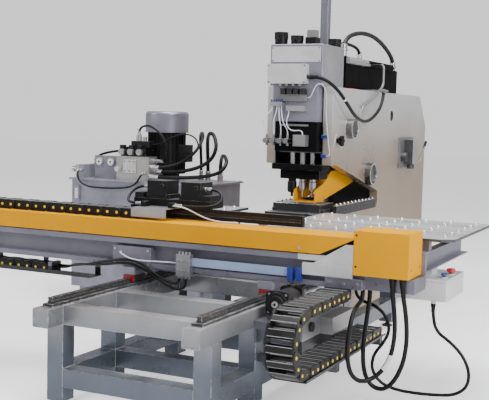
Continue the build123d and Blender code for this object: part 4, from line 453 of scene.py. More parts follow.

# %% [markdown]
# The press frame is thick plate under a pearl grey paint. It is smooth enough to carry a broad
# soft reflection, and its colour is painted darker, warmer and duller towards the floor as painted
# shade. The zones pick out the post, the blue tube clips, and painted shade in the throat, in the
# lifting hole and on the sides of the two turned bosses, whose faces are bright.

# %% Press frame finish
boss_face = 0.2945
pearl_paint = finish(
    "pearl_paint", (0.64, 0.64, 0.645), 0.34, metallic=0.5, clouded=0.13, uneven=0.25, bump=0.07,
    worn=(0.8, 0.8, 0.8), wear_amount=2.0, wear_radius=0.007, coat=0.15, cloud_scale=1.3,
    # The fade towards the floor, the near-black throat and the dark lifting hole are painted shade.
    shade_low_down=(1.22, 1.68, (0.40, 0.315, 0.24)),
    zones={
        "throat": ((-0.18, -0.5, 0.05), (0.18, 0.83, 1.5), ((0.018, 0.018, 0.02), 0.5, 0.0)),
        "post": ((-0.05, 0.14, 1.778), (0.05, 0.24, 3.0), ((0.17, 0.17, 0.20), 0.35, 0.5)),
        "tube clips": ((0.168, -0.27, 1.28), (0.214, -0.2455, 1.46), ((0.012, 0.025, 0.26), 0.35, 0.0)),
        "upper boss": ((0.2455, 0.0, 1.41), (boss_face, 0.17, 1.575), boss_side_shade),
        "lower boss": ((0.2455, 0.44, 1.06), (boss_face, 0.64, 1.245), boss_side_shade),
        "boss faces": ((boss_face, 0.0, 1.06), (0.30, 0.64, 1.575), ((0.66, 0.66, 0.66), 0.25, 0.9)),
        "lifting hole": ((0.2215, 1.045, 1.55), (0.2445, 1.145, 1.65), ((0.02, 0.02, 0.02), 0.5, 0.0)),
    },
)
dress(pearl_paint, "c_frame")

# %% [markdown]
# The head, the saddle and the clamp carriage have a colder lilac grey, and the beam a darker
# one. The right side of the head is painted paler, a painted highlight where the light falls.
# Box zones give the beam its dark rear face, painted shade on the web under the cover and in the
# screw pocket, and the bare plate that carries the drive box.

# %% Lilac finishes
lilac_paint = finish(
    "lilac_paint", (0.25, 0.245, 0.30), 0.38, metallic=0.45, clouded=0.16, uneven=0.2, wear_amount=2.2,
    cloud_scale=3.0, worn=(0.7, 0.7, 0.72),
    zones={
        # Painted highlight: the paler right side of the head.
        "lit right side": ((0.1945, -0.34, 1.60), (0.20, 0.09, 2.07), ((0.31, 0.31, 0.325), 0.36, 0.5)),
        "bare plate": ((-0.19, -0.36, 1.79), (0.19, -0.3352, 2.06), ((0.60, 0.60, 0.62), 0.3, 0.25)),
    },
)
dress(lilac_paint, "head_housing", "gantry_saddle", "x_carriage")
beam_left, beam_right = -1.7, 0.94
shadow = ((0.018, 0.018, 0.02), 0.6, 0.0)
beam_paint = finish(
    "beam_paint", (0.20, 0.195, 0.245), 0.36, metallic=0.5, clouded=0.22, uneven=0.25, wear_amount=2.6,
    cloud_scale=2.4, worn=(0.65, 0.65, 0.68), dusty=0.4,
    zones={
        "rear face": (
            (beam_left, -1.471, 0.60), (beam_right, -1.44, 0.90), ((0.035, 0.035, 0.04), 0.45, 0.3),
        ),
        # Painted shadow in the screw pocket and painted shade on the web under the cover.
        "screw pocket": ((beam_left, -1.68, 0.80), (0.93, -1.40, 0.96), shadow),
        "front web": (
            (beam_left, -1.66, 0.693), (beam_right, -1.648, 0.801), ((0.15, 0.145, 0.185), 0.45, 0.3),
        ),
        "chain tray": ((beam_left, -1.63, 0.50), (-0.70, -1.46, 0.60), ((0.025, 0.025, 0.028), 0.5, 0.1)),
        "box plate": ((0.62, -1.72, 0.72), (beam_right, -1.689, 0.905), ((0.62, 0.62, 0.62), 0.35, 0.4)),
        "joint plate": ((-0.565, -1.71, 0.66), (-0.298, -1.689, 0.785), ((0.17, 0.16, 0.205), 0.4, 0.4)),
    },
)
dress(beam_paint, "x_beam")

# %% [markdown]
# Caps, booster and motors are black castings. A black that mirrors a pale studio turns grey, so
# these finishes have a low specular level, set on the shader's own socket. Silver zones on the
# booster are its pipes and the ports that the hoses screw on to, and one zone is a red strip.

# %% Black castings on the head and frame
cast_black = finish(
    "cast_black", (0.006, 0.006, 0.007), 0.45, bump=0.25, grain_scale=420.0, gloss=0.2, dusty=0.05,
    worn=(0.2, 0.2, 0.2),
)
dress(cast_black, "x_servo_motor")
cap_black = finish(
    "cap_black", (0.006, 0.006, 0.007), 0.45, gloss=0.2, dusty=0.05, worn=(0.25, 0.25, 0.25),
    zones={"valve cover": ((0.056, -0.30, 2.112), (0.122, -0.23, 2.17), ((0.30, 0.30, 0.31), 0.35, 0.7))},
)
dress(cap_black, "cylinder_caps")
booster_black = finish(
    "booster_black", (0.003, 0.003, 0.0035), 0.55, gloss=0.04, dusty=0.02, worn=(0.2, 0.2, 0.2),
    wear_amount=0.8,
    zones={
        "pipe": ((0.1405, 0.28, 1.55), (0.33, 0.805, 1.995), ((0.30, 0.30, 0.31), 0.35, 0.6)),
        "top pipe": ((0.1205, 0.32, 1.97), (0.16, 0.76, 2.031), ((0.45, 0.45, 0.46), 0.3, 0.6)),
        "front ports": ((-0.02, 0.32, 2.0305), (0.13, 0.93, 2.08), bright_fitting),
        "rear port": ((0.06, 1.53, 1.9855), (0.12, 1.59, 2.02), bright_fitting),
        "red strip": ((0.02, 0.355, 1.779), (0.145, 0.54, 1.7945), ((0.55, 0.02, 0.02), 0.4, 0.0)),
    },
)
dress(booster_black, "booster_block")

# %% [markdown]
# The valve block on the front of the beam is bare alloy, and a pale blue cylinder runs from it
# to dark blue end caps. They are all one CAD piece, so zones split their colours.

# %% Valve block of the beam
valve_silver = finish(
    "valve_silver", (0.33, 0.33, 0.34), 0.34, metallic=0.75, worn=(0.7, 0.7, 0.7), dusty=0.1,
    zones={
        "cylinder": ((-0.021, -1.71, 0.70), (0.5715, -1.64, 0.7505), fitting_blue),
        "cylinder front": ((-0.04, -1.6935, 0.71), (0.62, -1.68, 0.7425), fitting_blue),
        "end caps": ((0.5715, -1.725, 0.68), (0.66, -1.69, 0.757), ((0.012, 0.03, 0.30), 0.35, 0.0)),
    },
)
dress(valve_silver, "beam_valve_block")

# %% [markdown]
# Punches, jaws and the feed screw are machined steel: almost fully metallic, with grain that
# is stretched across the piece like turning marks. The dies and their block are black oxide,
# ground bright on the faces that the sheet slides over.

# %% Tools and dies
machined = finish(
    "machined_steel", (0.50, 0.50, 0.51), 0.28, metallic=0.95, clouded=0.12, stretch=(0.2, 1, 1),
    grain_scale=600.0, worn=(0.8, 0.8, 0.8),
)
dress(machined, "punch_middle", "punch_right", "y_screw", "jaw_left", "jaw_right", "motor_rotor")
# The screw of the beam lies in the pocket under the cover, and its dark colour is painted shade.
screw_in_painted_shade = finish(
    "screw_in_painted_shade", (0.05, 0.05, 0.055), 0.4, metallic=0.2, gloss=0.25, worn=(0.3, 0.3, 0.3), dusty=0.05
)
dress(screw_in_painted_shade, "x_screw")
slab_low, slab_high = 0.9035, 0.9065
die_dark = finish(
    "die_dark", (0.03, 0.03, 0.033), 0.35, metallic=0.3, worn=(0.6, 0.6, 0.6), wear_amount=3.0, dusty=0.1,
    zones={
        "die tops": ((-0.3, -0.4, 0.9615), (0.3, 0.1, 0.97), ((0.62, 0.62, 0.63), 0.25, 0.9)),
        "slab at left": ((-0.3, -0.4, slab_low), (-0.19, 0.3, slab_high), bare_steel),
        "slab at right": ((0.19, -0.4, slab_low), (0.3, 0.3, slab_high), bare_steel),
        "slab in front": ((-0.3, -0.4, slab_low), (0.3, -0.25, slab_high), bare_steel),
    },
)
dress(die_dark, "die_block")
ball_bar_black = finish(
    "ball_bar_black", (0.03, 0.03, 0.033), 0.4, metallic=0.3, worn=(0.5, 0.5, 0.5),
    zones={"top faces": ((-0.3, -0.2, 0.9475), (0.3, 0.8, 0.9505), ((0.42, 0.42, 0.43), 0.35, 0.8))},
)
dress(ball_bar_black, "throat_ball_bars")
punch_black = finish(
    "punch_black", near_black, 0.4, gloss=0.25, worn=(0.4, 0.4, 0.4),
    zones={"shank": ((-0.2, -0.3, 1.23), (0.2, 0.0, 1.5), ground_steel)},
)
dress(punch_black, "punch_left")

# %% [markdown]
# Each carriage on the feed rails has a red rubber seal at both ends. A loop makes the four
# zones from the front and rear of each seal, because they differ in nothing else. The
# lever of the lubrication pump is bright steel with a black grip.

# %% Carriages and pump lever
seal_ends = ((-1.7231, -1.7095), (-1.6005, -1.587), (-0.828, -0.8145), (-0.7055, -0.692))
seals = {f"seal {front}": ((-0.5, front, 0.55), (0.5, rear, 0.63), seal_red) for front, rear in seal_ends}
carriage_dark = finish(
    "carriage_dark", (0.05, 0.05, 0.055), 0.35, metallic=0.6, worn=(0.6, 0.6, 0.6), zones=seals
)
dress(carriage_dark, "y_carriages")
lever_steel = finish(
    "lever_steel", (0.55, 0.55, 0.56), 0.28, metallic=0.95, worn=(0.8, 0.8, 0.8),
    zones={"grip": ((0.32, 1.70, 1.345), (0.40, 1.82, 1.42), ((0.008, 0.008, 0.009), 0.4, 0.0))},
)
dress(lever_steel, "lube_lever")

# %% [markdown]
# The yellow is a flat signal paint. The picture's tone curve pulls strong yellows towards
# white, so the paint has no blue at all and almost no gloss, which keeps it as deep as it can
# be. The tables are ground plate with bright tops, and their edges are painted dark as shade.

# %% Covers and tables
yellow_paint = finish(
    "yellow_paint", (0.74, 0.33, 0.0), 0.6, clouded=0.04, uneven=0.1, bump=0.03, gloss=0.03,
    worn=(0.62, 0.30, 0.0), wear_amount=0.6, dusty=0.0, cloud_scale=2.4,
)
dress(yellow_paint, "beam_cover", "drive_box", "hold_down")
table_top = 0.932
# The dark edges of the tables are painted shade.
table_steel_shaded_edges = finish(
    "table_steel_shaded_edges", (0.085, 0.085, 0.09), 0.36, metallic=0.5, clouded=0.2, dusty=0.1,
    stretch=(0.15, 1, 1), grain_scale=420.0, worn=(0.6, 0.6, 0.6),
    zones={
        "tops": ((-0.8, -1.42, table_top - 0.0005), (1.45, -0.4, 0.95), ((0.58, 0.58, 0.59), 0.3, 0.5)),
    },
)
dress(table_steel_shaded_edges, "right_table", "left_table")

# %% [markdown]
# The box beside the bed and the control box are sheet metal under a powder coat, which is even
# and dull. The push buttons are glossy plastic, so they get a clear coat over their colour.

# %% Boxes and buttons
side_grey = finish(
    "side_grey", (0.40, 0.40, 0.41), 0.38, metallic=0.3, clouded=0.15, dusty=0.2,
    zones={
        "chain tray": ((0.48, -2.4, 0.25), (0.96, -1.0, 0.325), ((0.06, 0.06, 0.065), 0.45, 0.3)),
        "grommet": ((0.6245, -1.53, 0.35), (0.66, -1.45, 0.43), ((0.02, 0.02, 0.02), 0.5, 0.0)),
    },
)
dress(side_grey, "side_fittings")
box_grey = finish("box_grey", (0.62, 0.62, 0.635), 0.45, clouded=0.05, wear_amount=0.5, dusty=0.1)
dress(box_grey, "control_box")
plastic = {"roughness": 0.3, "coat": 0.4, "clouded": 0.05, "wear_amount": 0.2, "dusty": 0.05}
dress(finish("button_red", (0.60, 0.004, 0.008), **plastic), "e_stop")
dress(finish("button_blue", (0.01, 0.05, 0.42), **plastic), "start_button", "reset_button")

# %% [markdown]
# The tool carriers under the head are blackened steel with rubbed corners. The air fittings
# on the tool body, the valve row under the junction box and its glands are zones again.

# %% Tool body and junction box
tool_black = finish(
    "tool_black", (0.005, 0.005, 0.006), 0.45, gloss=0.1, worn=(0.35, 0.35, 0.36), wear_amount=3.0, dusty=0.06
)
dress(tool_black, "ram_plates", "clamp_knob")
tool_body_black = finish(
    "tool_body_black", (0.004, 0.004, 0.005), 0.45, gloss=0.08, worn=(0.35, 0.35, 0.36), dusty=0.05,
    zones={
        "left fittings": ((-0.22, -0.42, 1.36), (-0.02, -0.3205, 1.45), dull_alloy),
        "right fitting": ((0.005, -0.42, 1.36), (0.105, -0.3205, 1.45), ((0.34, 0.34, 0.35), 0.32, 0.7)),
        "upper strip": ((-0.12, -0.34, 1.504), (0.11, -0.3205, 1.52), dull_alloy),
    },
)
dress(tool_body_black, "tool_body")
junction_grey = finish(
    "junction_grey", (0.50, 0.50, 0.51), 0.4, metallic=0.1, wear_amount=0.8,
    zones={
        "valves": ((-0.12, -0.40, 1.7215), (0.12, -0.3355, 1.7625), ((0.015, 0.015, 0.016), 0.4, 0.0)),
        "valve rail": ((-0.12, -0.40, 1.675), (0.12, -0.3355, 1.7215), ((0.26, 0.26, 0.27), 0.35, 0.7)),
        "air blocks": ((-0.2, -0.42, 1.60), (0.12, -0.3355, 1.672), ((0.42, 0.42, 0.43), 0.32, 0.7)),
        "tube sockets": ((-0.2, -0.42, 1.668), (-0.08, -0.3355, 1.69), ((0.02, 0.04, 0.16), 0.35, 0.1)),
        "conduit gland": ((0.0985, -0.39, 1.82), (0.13, -0.34, 1.865), ((0.015, 0.015, 0.016), 0.4, 0.0)),
    },
)
dress(junction_grey, "head_junction_box")

# %% [markdown]
# The clamps ride on a black slotted rail, and the feed motor is a black casting with a bright
# flange. The lubrication pump is a paler grey, with zones for its back plate and dark fittings,
# and a darker front face of the tank that is painted shade.

# %% Clamps, feed motor and lubrication pump
clamp_black = finish(
    "clamp_black", near_black, 0.42, gloss=0.22, worn=(0.35, 0.35, 0.35), wear_amount=2.4,
    zones={
        "jaw seats": ((-0.62, -1.7, 0.94), (0.55, -1.4555, 1.0075), ((0.40, 0.40, 0.42), 0.35, 0.7)),
        "rail slot": ((-0.582, -1.47, 0.966), (0.535, -1.4445, 0.986), ((0.04, 0.04, 0.045), 0.5, 0.0)),
    },
)
dress(clamp_black, "clamps")
motor_case = finish(
    "motor_case", (0.008, 0.008, 0.009), 0.42, gloss=0.25, worn=(0.3, 0.3, 0.3), dusty=0.15,
    zones={"flange": ((0.53, -1.9405, 0.52), (0.67, -1.9302, 0.66), ((0.55, 0.55, 0.56), 0.3, 0.9))},
)
dress(motor_case, "y_servo_motor")
plate_face = 0.2595
fittings_start = 0.2594
pump_grey = finish(
    "pump_grey", (0.36, 0.36, 0.37), 0.4, metallic=0.5, clouded=0.2, worn=(0.8, 0.8, 0.8),
    zones={
        "back plate": ((0.244, 1.29, 1.16), (plate_face, 1.71, 1.43), ((0.22, 0.22, 0.225), 0.4, 0.5)),
        "filter": ((fittings_start, 1.32, 1.21), (0.31, 1.42, 1.31), ((0.05, 0.05, 0.055), 0.4, 0.3)),
        # Painted shade on the front face of the tank.
        "shaded tank front": (
            (fittings_start, 1.42, 1.199), (0.336, 1.4315, 1.406), ((0.06, 0.06, 0.065), 0.4, 0.3),
        ),
        "pump foot": ((0.26, 1.47, 1.15), (0.34, 1.55, 1.1995), ((0.10, 0.10, 0.11), 0.3, 0.8)),
    },
)
dress(pump_grey, "lube_pump")

# %% [markdown]
# The power unit is a lilac tank with a black motor, whose fan has a grey cowl. Its valve stack
# is black, with zones for the painted gauge plate, the alloy manifold, the bright test plate
# and the metal of the gauges, ports and fittings.

# %% Power unit
tank_paint = finish(
    "tank_paint", (0.225, 0.225, 0.275), 0.38, metallic=0.4, clouded=0.18, worn=(0.6, 0.6, 0.62),
    zones={
        "filter": ((-2.25, 0.10, 1.05), (-2.13, 0.40, 1.15), bare_steel),
        "side fitting": ((-2.12, 0.10, 1.07), (-2.08, 0.1295, 1.11), bare_steel),
        "sight glass": ((-2.14, 0.07, 0.855), (-2.10, 0.0835, 0.945), ((0.6, 0.6, 0.5), 0.15, 0.0)),
        "lid ports": ((-1.30, 0.58, 1.0245), (-1.03, 0.68, 1.06), bare_steel),
    },
)
dress(tank_paint, "oil_tank")
manifold_right = -1.4665
ports_left = -1.4668
valve_black = finish(
    "valve_black", (0.008, 0.008, 0.009), 0.4, gloss=0.25, worn=(0.35, 0.35, 0.35), dusty=0.1,
    zones={
        "gauge plate": ((-2.02, 0.1, 1.0), (-1.78, 0.33, 1.221), ((0.21, 0.21, 0.255), 0.4, 0.4)),
        "gauges": ((-2.0, 0.160, 1.12), (-1.80, 0.1855, 1.21), ((0.50, 0.50, 0.51), 0.3, 0.8)),
        "manifold": ((-1.7735, 0.137, 1.0), (manifold_right, 0.29, 1.2205), ((0.42, 0.41, 0.40), 0.38, 0.75)),
        "ports": ((ports_left, 0.1, 1.0), (-1.42, 0.33, 1.221), ((0.62, 0.62, 0.62), 0.28, 0.95)),
        "test plate": ((-1.77, 0.08, 1.06), (-1.56, 0.1495, 1.21), ((0.62, 0.62, 0.63), 0.3, 0.6)),
        "solenoids": ((-1.76, 0.09, 1.23), (-1.49, 0.13, 1.28), ((0.40, 0.40, 0.41), 0.3, 0.9)),
        "top fittings": ((-1.64, 0.18, 1.3455), (-1.51, 0.25, 1.40), ((0.5, 0.5, 0.5), 0.3, 0.9)),
    },
)
dress(valve_black, "valve_stack")
motor_black = finish(
    "motor_black", (0.008, 0.008, 0.009), 0.45, gloss=0.25, clouded=0.2, worn=(0.12, 0.12, 0.12)
)
dress(motor_black, "pump_motor")
dress(finish("cowl_grey", (0.26, 0.255, 0.31), 0.34, metallic=0.6, clouded=0.12), "fan_cowl")

# %% [markdown]
# The cable chains are moulded nylon, a dull black that dust turns a little grey. All six runs
# share one material, and their small parts come further down.

# %% Chain nylon
chain_black = finish(
    "chain_nylon", (0.006, 0.006, 0.007), 0.45, gloss=0.25, clouded=0.25, worn=(0.12, 0.12, 0.12), dusty=0.12
)
chain_nodes = [f"{way}_chain_{run}" for way in "yx" for run in ("lower", "bend", "upper")]
dress(chain_black, *chain_nodes)
print("materials so far", len(bpy.data.materials))

# %% [markdown]
# A hose is a single smooth line with a round section. Its line is a NURBS curve whose control
# points are the corners of its route, in metres, because such a curve never overshoots a
# corner the way a Bezier with automatic handles can. The curve is told to reach its first and
# its last point, so it meets its fittings.


# %% Line of a route
def line_of(name, route):
    """The NURBS curve whose control points are the corners of the route."""
    line = bpy.data.curves.new(name, "CURVE")
    line.dimensions = "3D"
    line.resolution_u = 8
    spline = line.splines.new("NURBS")
    spline.points.add(len(route) - 1)
    for point, spot in zip(spline.points, route):
        point.co = (*spot, 1)
    spline.order_u = 3
    spline.use_endpoint_u = True
    made = bpy.data.objects.new(name, line)
    bpy.context.collection.objects.link(made)
    return made


def points_of(route):
    """Points along the smooth line of the route."""
    bare = line_of("measuring_line", route)
    mesh = bpy.data.meshes.new_from_object(bare.evaluated_get(bpy.context.evaluated_depsgraph_get()))
    points = [v.co.copy() for v in mesh.vertices]
    bpy.data.objects.remove(bare)
    bpy.data.meshes.remove(mesh)
    return points


# %% [markdown]
# Fittings, sleeves and tags are turned round the line of their hose. A list of rings, each with
# a middle, a direction and a radius, is all that such a piece needs, and BMesh joins the rings.
# Each ring takes its sideways direction from the ring before, so the skin doesn't twist.


# %% Turned pieces
def turned(name, body, material, pieces, sides=16):
    """Round pieces in one mesh: each is a list of (middle, direction, radius) rings."""
    corners = [(math.cos(i * math.tau / sides), math.sin(i * math.tau / sides)) for i in range(sides)]
    shape = bmesh.new()
    for rings in pieces:
        loops = []
        for middle, way, radius in rings:
            across = way.orthogonal().normalized()
            if loops:
                across = (across_before - way * across_before.dot(way)).normalized()
            across_before = across
            up = way.cross(across)
            loops.append([shape.verts.new(middle + (across * c + up * s) * radius) for c, s in corners])
        for near, far in zip(loops, loops[1:]):
            for i in range(sides):
                shape.faces.new((near[i - 1], near[i], far[i], far[i - 1]))
        shape.faces.new(list(reversed(loops[0])))
        shape.faces.new(loops[-1])
    bmesh.ops.recalc_face_normals(shape, faces=shape.faces)
    mesh = bpy.data.meshes.new(name)
    shape.to_mesh(mesh)
    shape.free()
    mesh.materials.append(material)
    made = bpy.data.objects.new(name, mesh)
    bpy.context.collection.objects.link(made)
    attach(made, body)
    return made


def along(place, way, profile):
    """Rings of a turned piece from a profile of (distance, radius) pairs."""
    start, way = Vector(place), Vector(way).normalized()
    return [(start + way * distance, way, radius) for distance, radius in profile]


def ends_of(route, profile, which=(0, -1)):
    """The profile set on the ends of a route, pointing along the hose."""
    next_to = {0: 1, -1: -2}
    return [along(route[end], Vector(route[next_to[end]]) - Vector(route[end]), profile) for end in which]


def band(points, start, end, radius):
    """Rings of a sleeve round the line, between two shares of its length."""
    last = len(points) - 1
    picked = points[int(start * last):int(end * last) + 1]
    ways = [(b - a).normalized() for a, b in zip(picked, picked[1:])]
    return [(spot, way, radius) for spot, way in zip(picked, ways + ways[-1:])]


# %% [markdown]
# The profiles are those of real fittings. A hydraulic hose ends in a nut, a neck and a crimped
# ferrule. A cable leaves a housing through a rubber sleeve that tapers off, so that it can't
# kink there. Their lengths are in metres, and their radii are shares of the hose's own radius.


# %% Hose maker
def hose(
    name, body, node, route, radius, length, material,
):
    """A hose or cable along its route, in place of the plain tube of the CAD model."""
    made = line_of(name, route)
    made.data.bevel_depth = radius
    made.data.bevel_resolution = 5
    made.data.use_fill_caps = True
    made.data.materials.append(material)
    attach(made, body)
    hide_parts(node)
    print(name, round(length * 1000), "mm long,", round(2000 * radius), "mm thick")
    return made


def crimped(radius):
    """Profile of a crimped hose fitting: nut, neck and ferrule."""
    return [
        (0.0, radius * 1.7), (0.014, radius * 1.7), (0.0145, radius * 1.2), (0.019, radius * 1.2),
        (0.0195, radius * 1.42), (0.048, radius * 1.42), (0.051, radius * 1.15),
    ]


def relieved(radius):
    """Profile of a tapered rubber sleeve where a cable leaves a housing."""
    return [(0.0, radius * 1.55), (0.012, radius * 1.5), (0.028, radius * 1.25), (0.05, radius * 1.08)]


# %% [markdown]
# Hydraulic hose has a matt rubber cover with a fine wrapped grain, and the cables are smoother.
# The air tubes are milky plastic with a clear coat. None of them shows worn edges, so the wear
# is switched off.

# %% Hose finishes
rubber_black = (0.004, 0.004, 0.0045)
unworn = {"wear_amount": 0.0}
rubber = finish(
    "hose_rubber", rubber_black, 0.42, gloss=0.25, clouded=0.3, bump=0.12, dusty=0.08, grain_scale=700.0,
    **unworn,
)
cable_rubber = finish("cable_rubber", rubber_black, 0.4, gloss=0.25, clouded=0.2, dusty=0.05, **unworn)
fitting_steel = finish("fitting_steel", (0.55, 0.55, 0.56), 0.28, metallic=0.9, dusty=0.05, **unworn)
tag_white = finish("tag_white", (0.75, 0.75, 0.76), 0.5, dusty=0.1, **unworn)
sleeve_black = finish("sleeve_rubber", (0.006, 0.006, 0.007), 0.5, gloss=0.25, dusty=0.1, **unworn)
white_tube = finish("air_tube", (0.74, 0.76, 0.82), 0.25, clouded=0.05, dusty=0.0, coat=0.5, **unworn)
print("hoses in", rubber.name, "and", cable_rubber.name)

# %% [markdown]
# A thick conduit hangs in a long bow from the junction box back along the press frame, with a
# white tag about a third of the way along. Two stiff hoses arch over the booster from port to
# port. All routes are those of the CAD source, in metres.

# %% Hoses of the head and the booster
conduit = [
    (0.124, -0.365, 1.842), (0.182, -0.365, 1.842), (0.248, -0.332, 1.808), (0.294, -0.25, 1.742),
    (0.31, -0.12, 1.656), (0.31, 0.02, 1.586), (0.31, 0.18, 1.548), (0.31, 0.33, 1.552),
    (0.31, 0.47, 1.594), (0.31, 0.586, 1.652), (0.3, 0.664, 1.706), (0.3, 0.69, 1.768),
]
tag = band(points_of(conduit), 0.30, 0.318, 0.0132)
conduit_tags = turned("conduit_tags", "machine", tag_white, [tag])
hose("head_conduit_hose", "machine", "head_conduit", conduit, 0.012, 1.311, rubber)
turned("conduit_relief", "machine", sleeve_black, ends_of(conduit, relieved(0.012), (0,)))
long_hose = [
    (0.09, 0.352, 2.07), (0.09, 0.352, 2.104), (0.09, 0.388, 2.15), (0.09, 0.47, 2.188),
    (0.09, 0.61, 2.218), (0.09, 0.79, 2.236), (0.09, 1.01, 2.232), (0.09, 1.22, 2.198),
    (0.09, 1.4, 2.146), (0.09, 1.52, 2.094), (0.09, 1.56, 2.052), (0.09, 1.56, 2.012),
]
hose("booster_hose_long", "machine", "booster_hoses", long_hose, 0.017, 1.35, rubber)
short_hose = [
    (0.02, 0.38, 2.05), (0.02, 0.38, 2.084), (0.02, 0.412, 2.116), (0.02, 0.484, 2.132),
    (0.02, 0.58, 2.14), (0.02, 0.69, 2.138), (0.02, 0.79, 2.13), (0.02, 0.864, 2.114),
    (0.02, 0.9, 2.082), (0.02, 0.9, 2.05),
]
hose("booster_hose_short", "machine", "booster_hoses", short_hose, 0.012, 0.61, rubber)
booster_ends = ends_of(long_hose, crimped(0.017)) + ends_of(short_hose, crimped(0.012))
turned("booster_fittings", "machine", fitting_steel, booster_ends)

# %% [markdown]
# Thin air tubes drop from the blocks under the junction box to the fittings of the tool body,
# and a longer one runs to the clips on the press frame. All are seven millimetres thick, so a
# loop makes them from a list of lengths and routes.

# %% Air tubes of the head
air_tube_radius = 0.0035
air_tubes = {
    "air_tube_frame": (0.688, [
    (0.096, -0.348, 1.7), (0.118, -0.348, 1.7), (0.138, -0.354, 1.742), (0.162, -0.36, 1.786),
    (0.196, -0.352, 1.802), (0.214, -0.326, 1.77), (0.216, -0.294, 1.706), (0.206, -0.27, 1.624),
    (0.208, -0.262, 1.54), (0.218, -0.26, 1.456), (0.226, -0.258, 1.38), (0.236, -0.256, 1.33),
    (0.23, -0.254, 1.304), (0.212, -0.254, 1.304),
]),
    "air_tube_right": (0.251, [
    (-0.03, -0.368, 1.608), (-0.03, -0.368, 1.582), (-0.044, -0.374, 1.546),
    (-0.036, -0.38, 1.506), (-0.012, -0.382, 1.48), (0.02, -0.378, 1.472), (0.052, -0.372, 1.478),
    (0.076, -0.368, 1.47), (0.076, -0.368, 1.446),
]),
    "air_tube_middle": (0.206, [
    (-0.086, -0.368, 1.64), (-0.086, -0.368, 1.61), (-0.076, -0.374, 1.56),
    (-0.062, -0.376, 1.516), (-0.034, -0.368, 1.478), (-0.034, -0.368, 1.446),
]),
    "air_tube_left": (0.197, [
    (-0.12, -0.368, 1.64), (-0.12, -0.368, 1.61), (-0.134, -0.374, 1.566), (-0.14, -0.376, 1.522),
    (-0.138, -0.368, 1.482), (-0.138, -0.368, 1.446),
]),
    "air_tube_outer": (0.222, [
    (-0.152, -0.368, 1.64), (-0.152, -0.368, 1.618), (-0.176, -0.382, 1.59),
    (-0.204, -0.388, 1.552), (-0.212, -0.388, 1.51), (-0.19, -0.368, 1.478),
    (-0.19, -0.368, 1.446),
]),
    "air_tube_inner": (0.198, [
    (-0.104, -0.368, 1.64), (-0.104, -0.368, 1.606), (-0.098, -0.376, 1.56),
    (-0.084, -0.38, 1.514), (-0.086, -0.368, 1.478), (-0.086, -0.368, 1.446),
]),
}
for name, (length, route) in air_tubes.items():
    hose(name, "machine", "head_air_tubes", route, air_tube_radius, length, white_tube)

# %% [markdown]
# The hoses of the power unit join the tank, the manifold and the valves. Every one but the
# motor's cable ends in crimped fittings. The fittings of all of them are one mesh, which keeps
# the number of pieces low.

# %% Hoses of the power unit
tank_hoses = {
    "pressure_hose_outer": (1.357, 0.015, [
    (-1.17, 0.61, 1.054), (-1.17, 0.61, 1.15), (-1.16, 0.576, 1.282), (-1.116, 0.49, 1.386),
    (-1.036, 0.384, 1.432), (-0.95, 0.3, 1.404), (-0.902, 0.246, 1.31), (-0.94, 0.23, 1.214),
    (-1.05, 0.226, 1.15), (-1.19, 0.228, 1.116), (-1.32, 0.23, 1.1), (-1.437, 0.23, 1.1),
]),
    "pressure_hose_inner": (1.301, 0.015, [
    (-1.07, 0.64, 1.054), (-1.07, 0.64, 1.12), (-1.04, 0.59, 1.196), (-0.966, 0.47, 1.246),
    (-0.872, 0.34, 1.244), (-0.8, 0.232, 1.196), (-0.826, 0.176, 1.124), (-0.94, 0.168, 1.09),
    (-1.08, 0.172, 1.074), (-1.22, 0.176, 1.066), (-1.34, 0.178, 1.062), (-1.437, 0.178, 1.062),
]),
    "return_hose": (1.175, 0.012, [
    (-1.437, 0.18, 1.14), (-1.378, 0.18, 1.14), (-1.29, 0.186, 1.15), (-1.19, 0.198, 1.186),
    (-1.11, 0.224, 1.244), (-1.07, 0.268, 1.316), (-1.072, 0.33, 1.38), (-1.112, 0.404, 1.42),
    (-1.17, 0.48, 1.424), (-1.22, 0.554, 1.39), (-1.246, 0.612, 1.316), (-1.254, 0.636, 1.23),
    (-1.25, 0.64, 1.14), (-1.25, 0.64, 1.054),
]),
    "valve_hose_rear": (0.547, 0.010, [
    (-2.1, 0.33, 1.134), (-2.1, 0.33, 1.176), (-2.07, 0.342, 1.212), (-1.996, 0.364, 1.236),
    (-1.894, 0.384, 1.252), (-1.8, 0.398, 1.266), (-1.732, 0.388, 1.262), (-1.7, 0.346, 1.258),
    (-1.7, 0.286, 1.258),
]),
    "gauge_hose": (0.817, 0.008, [
    (-2.1, 0.112, 1.09), (-2.1, 0.084, 1.09), (-2.098, 0.066, 1.064), (-2.086, 0.062, 1.018),
    (-2.046, 0.062, 0.98), (-1.976, 0.064, 0.96), (-1.88, 0.066, 0.956), (-1.77, 0.068, 0.958),
    (-1.65, 0.068, 0.966), (-1.566, 0.068, 0.984), (-1.52, 0.068, 1.02), (-1.504, 0.082, 1.062),
    (-1.5, 0.116, 1.085), (-1.5, 0.15, 1.085),
]),
    "valve_hose_front": (0.630, 0.009, [
    (-1.6, 0.215, 1.392), (-1.6, 0.215, 1.43), (-1.568, 0.204, 1.462), (-1.504, 0.188, 1.474),
    (-1.428, 0.172, 1.452), (-1.36, 0.168, 1.402), (-1.324, 0.172, 1.334), (-1.322, 0.192, 1.262),
    (-1.342, 0.226, 1.206), (-1.386, 0.25, 1.185), (-1.437, 0.25, 1.185),
]),
    "motor_cable": (0.615, 0.006, [
    (-1.262, 0.45, 1.25), (-1.212, 0.45, 1.25), (-1.166, 0.43, 1.296), (-1.15, 0.384, 1.358),
    (-1.168, 0.324, 1.402), (-1.222, 0.276, 1.414), (-1.292, 0.246, 1.39), (-1.36, 0.222, 1.348),
    (-1.416, 0.205, 1.32), (-1.47, 0.205, 1.32),
]),
}
tank_ends = []
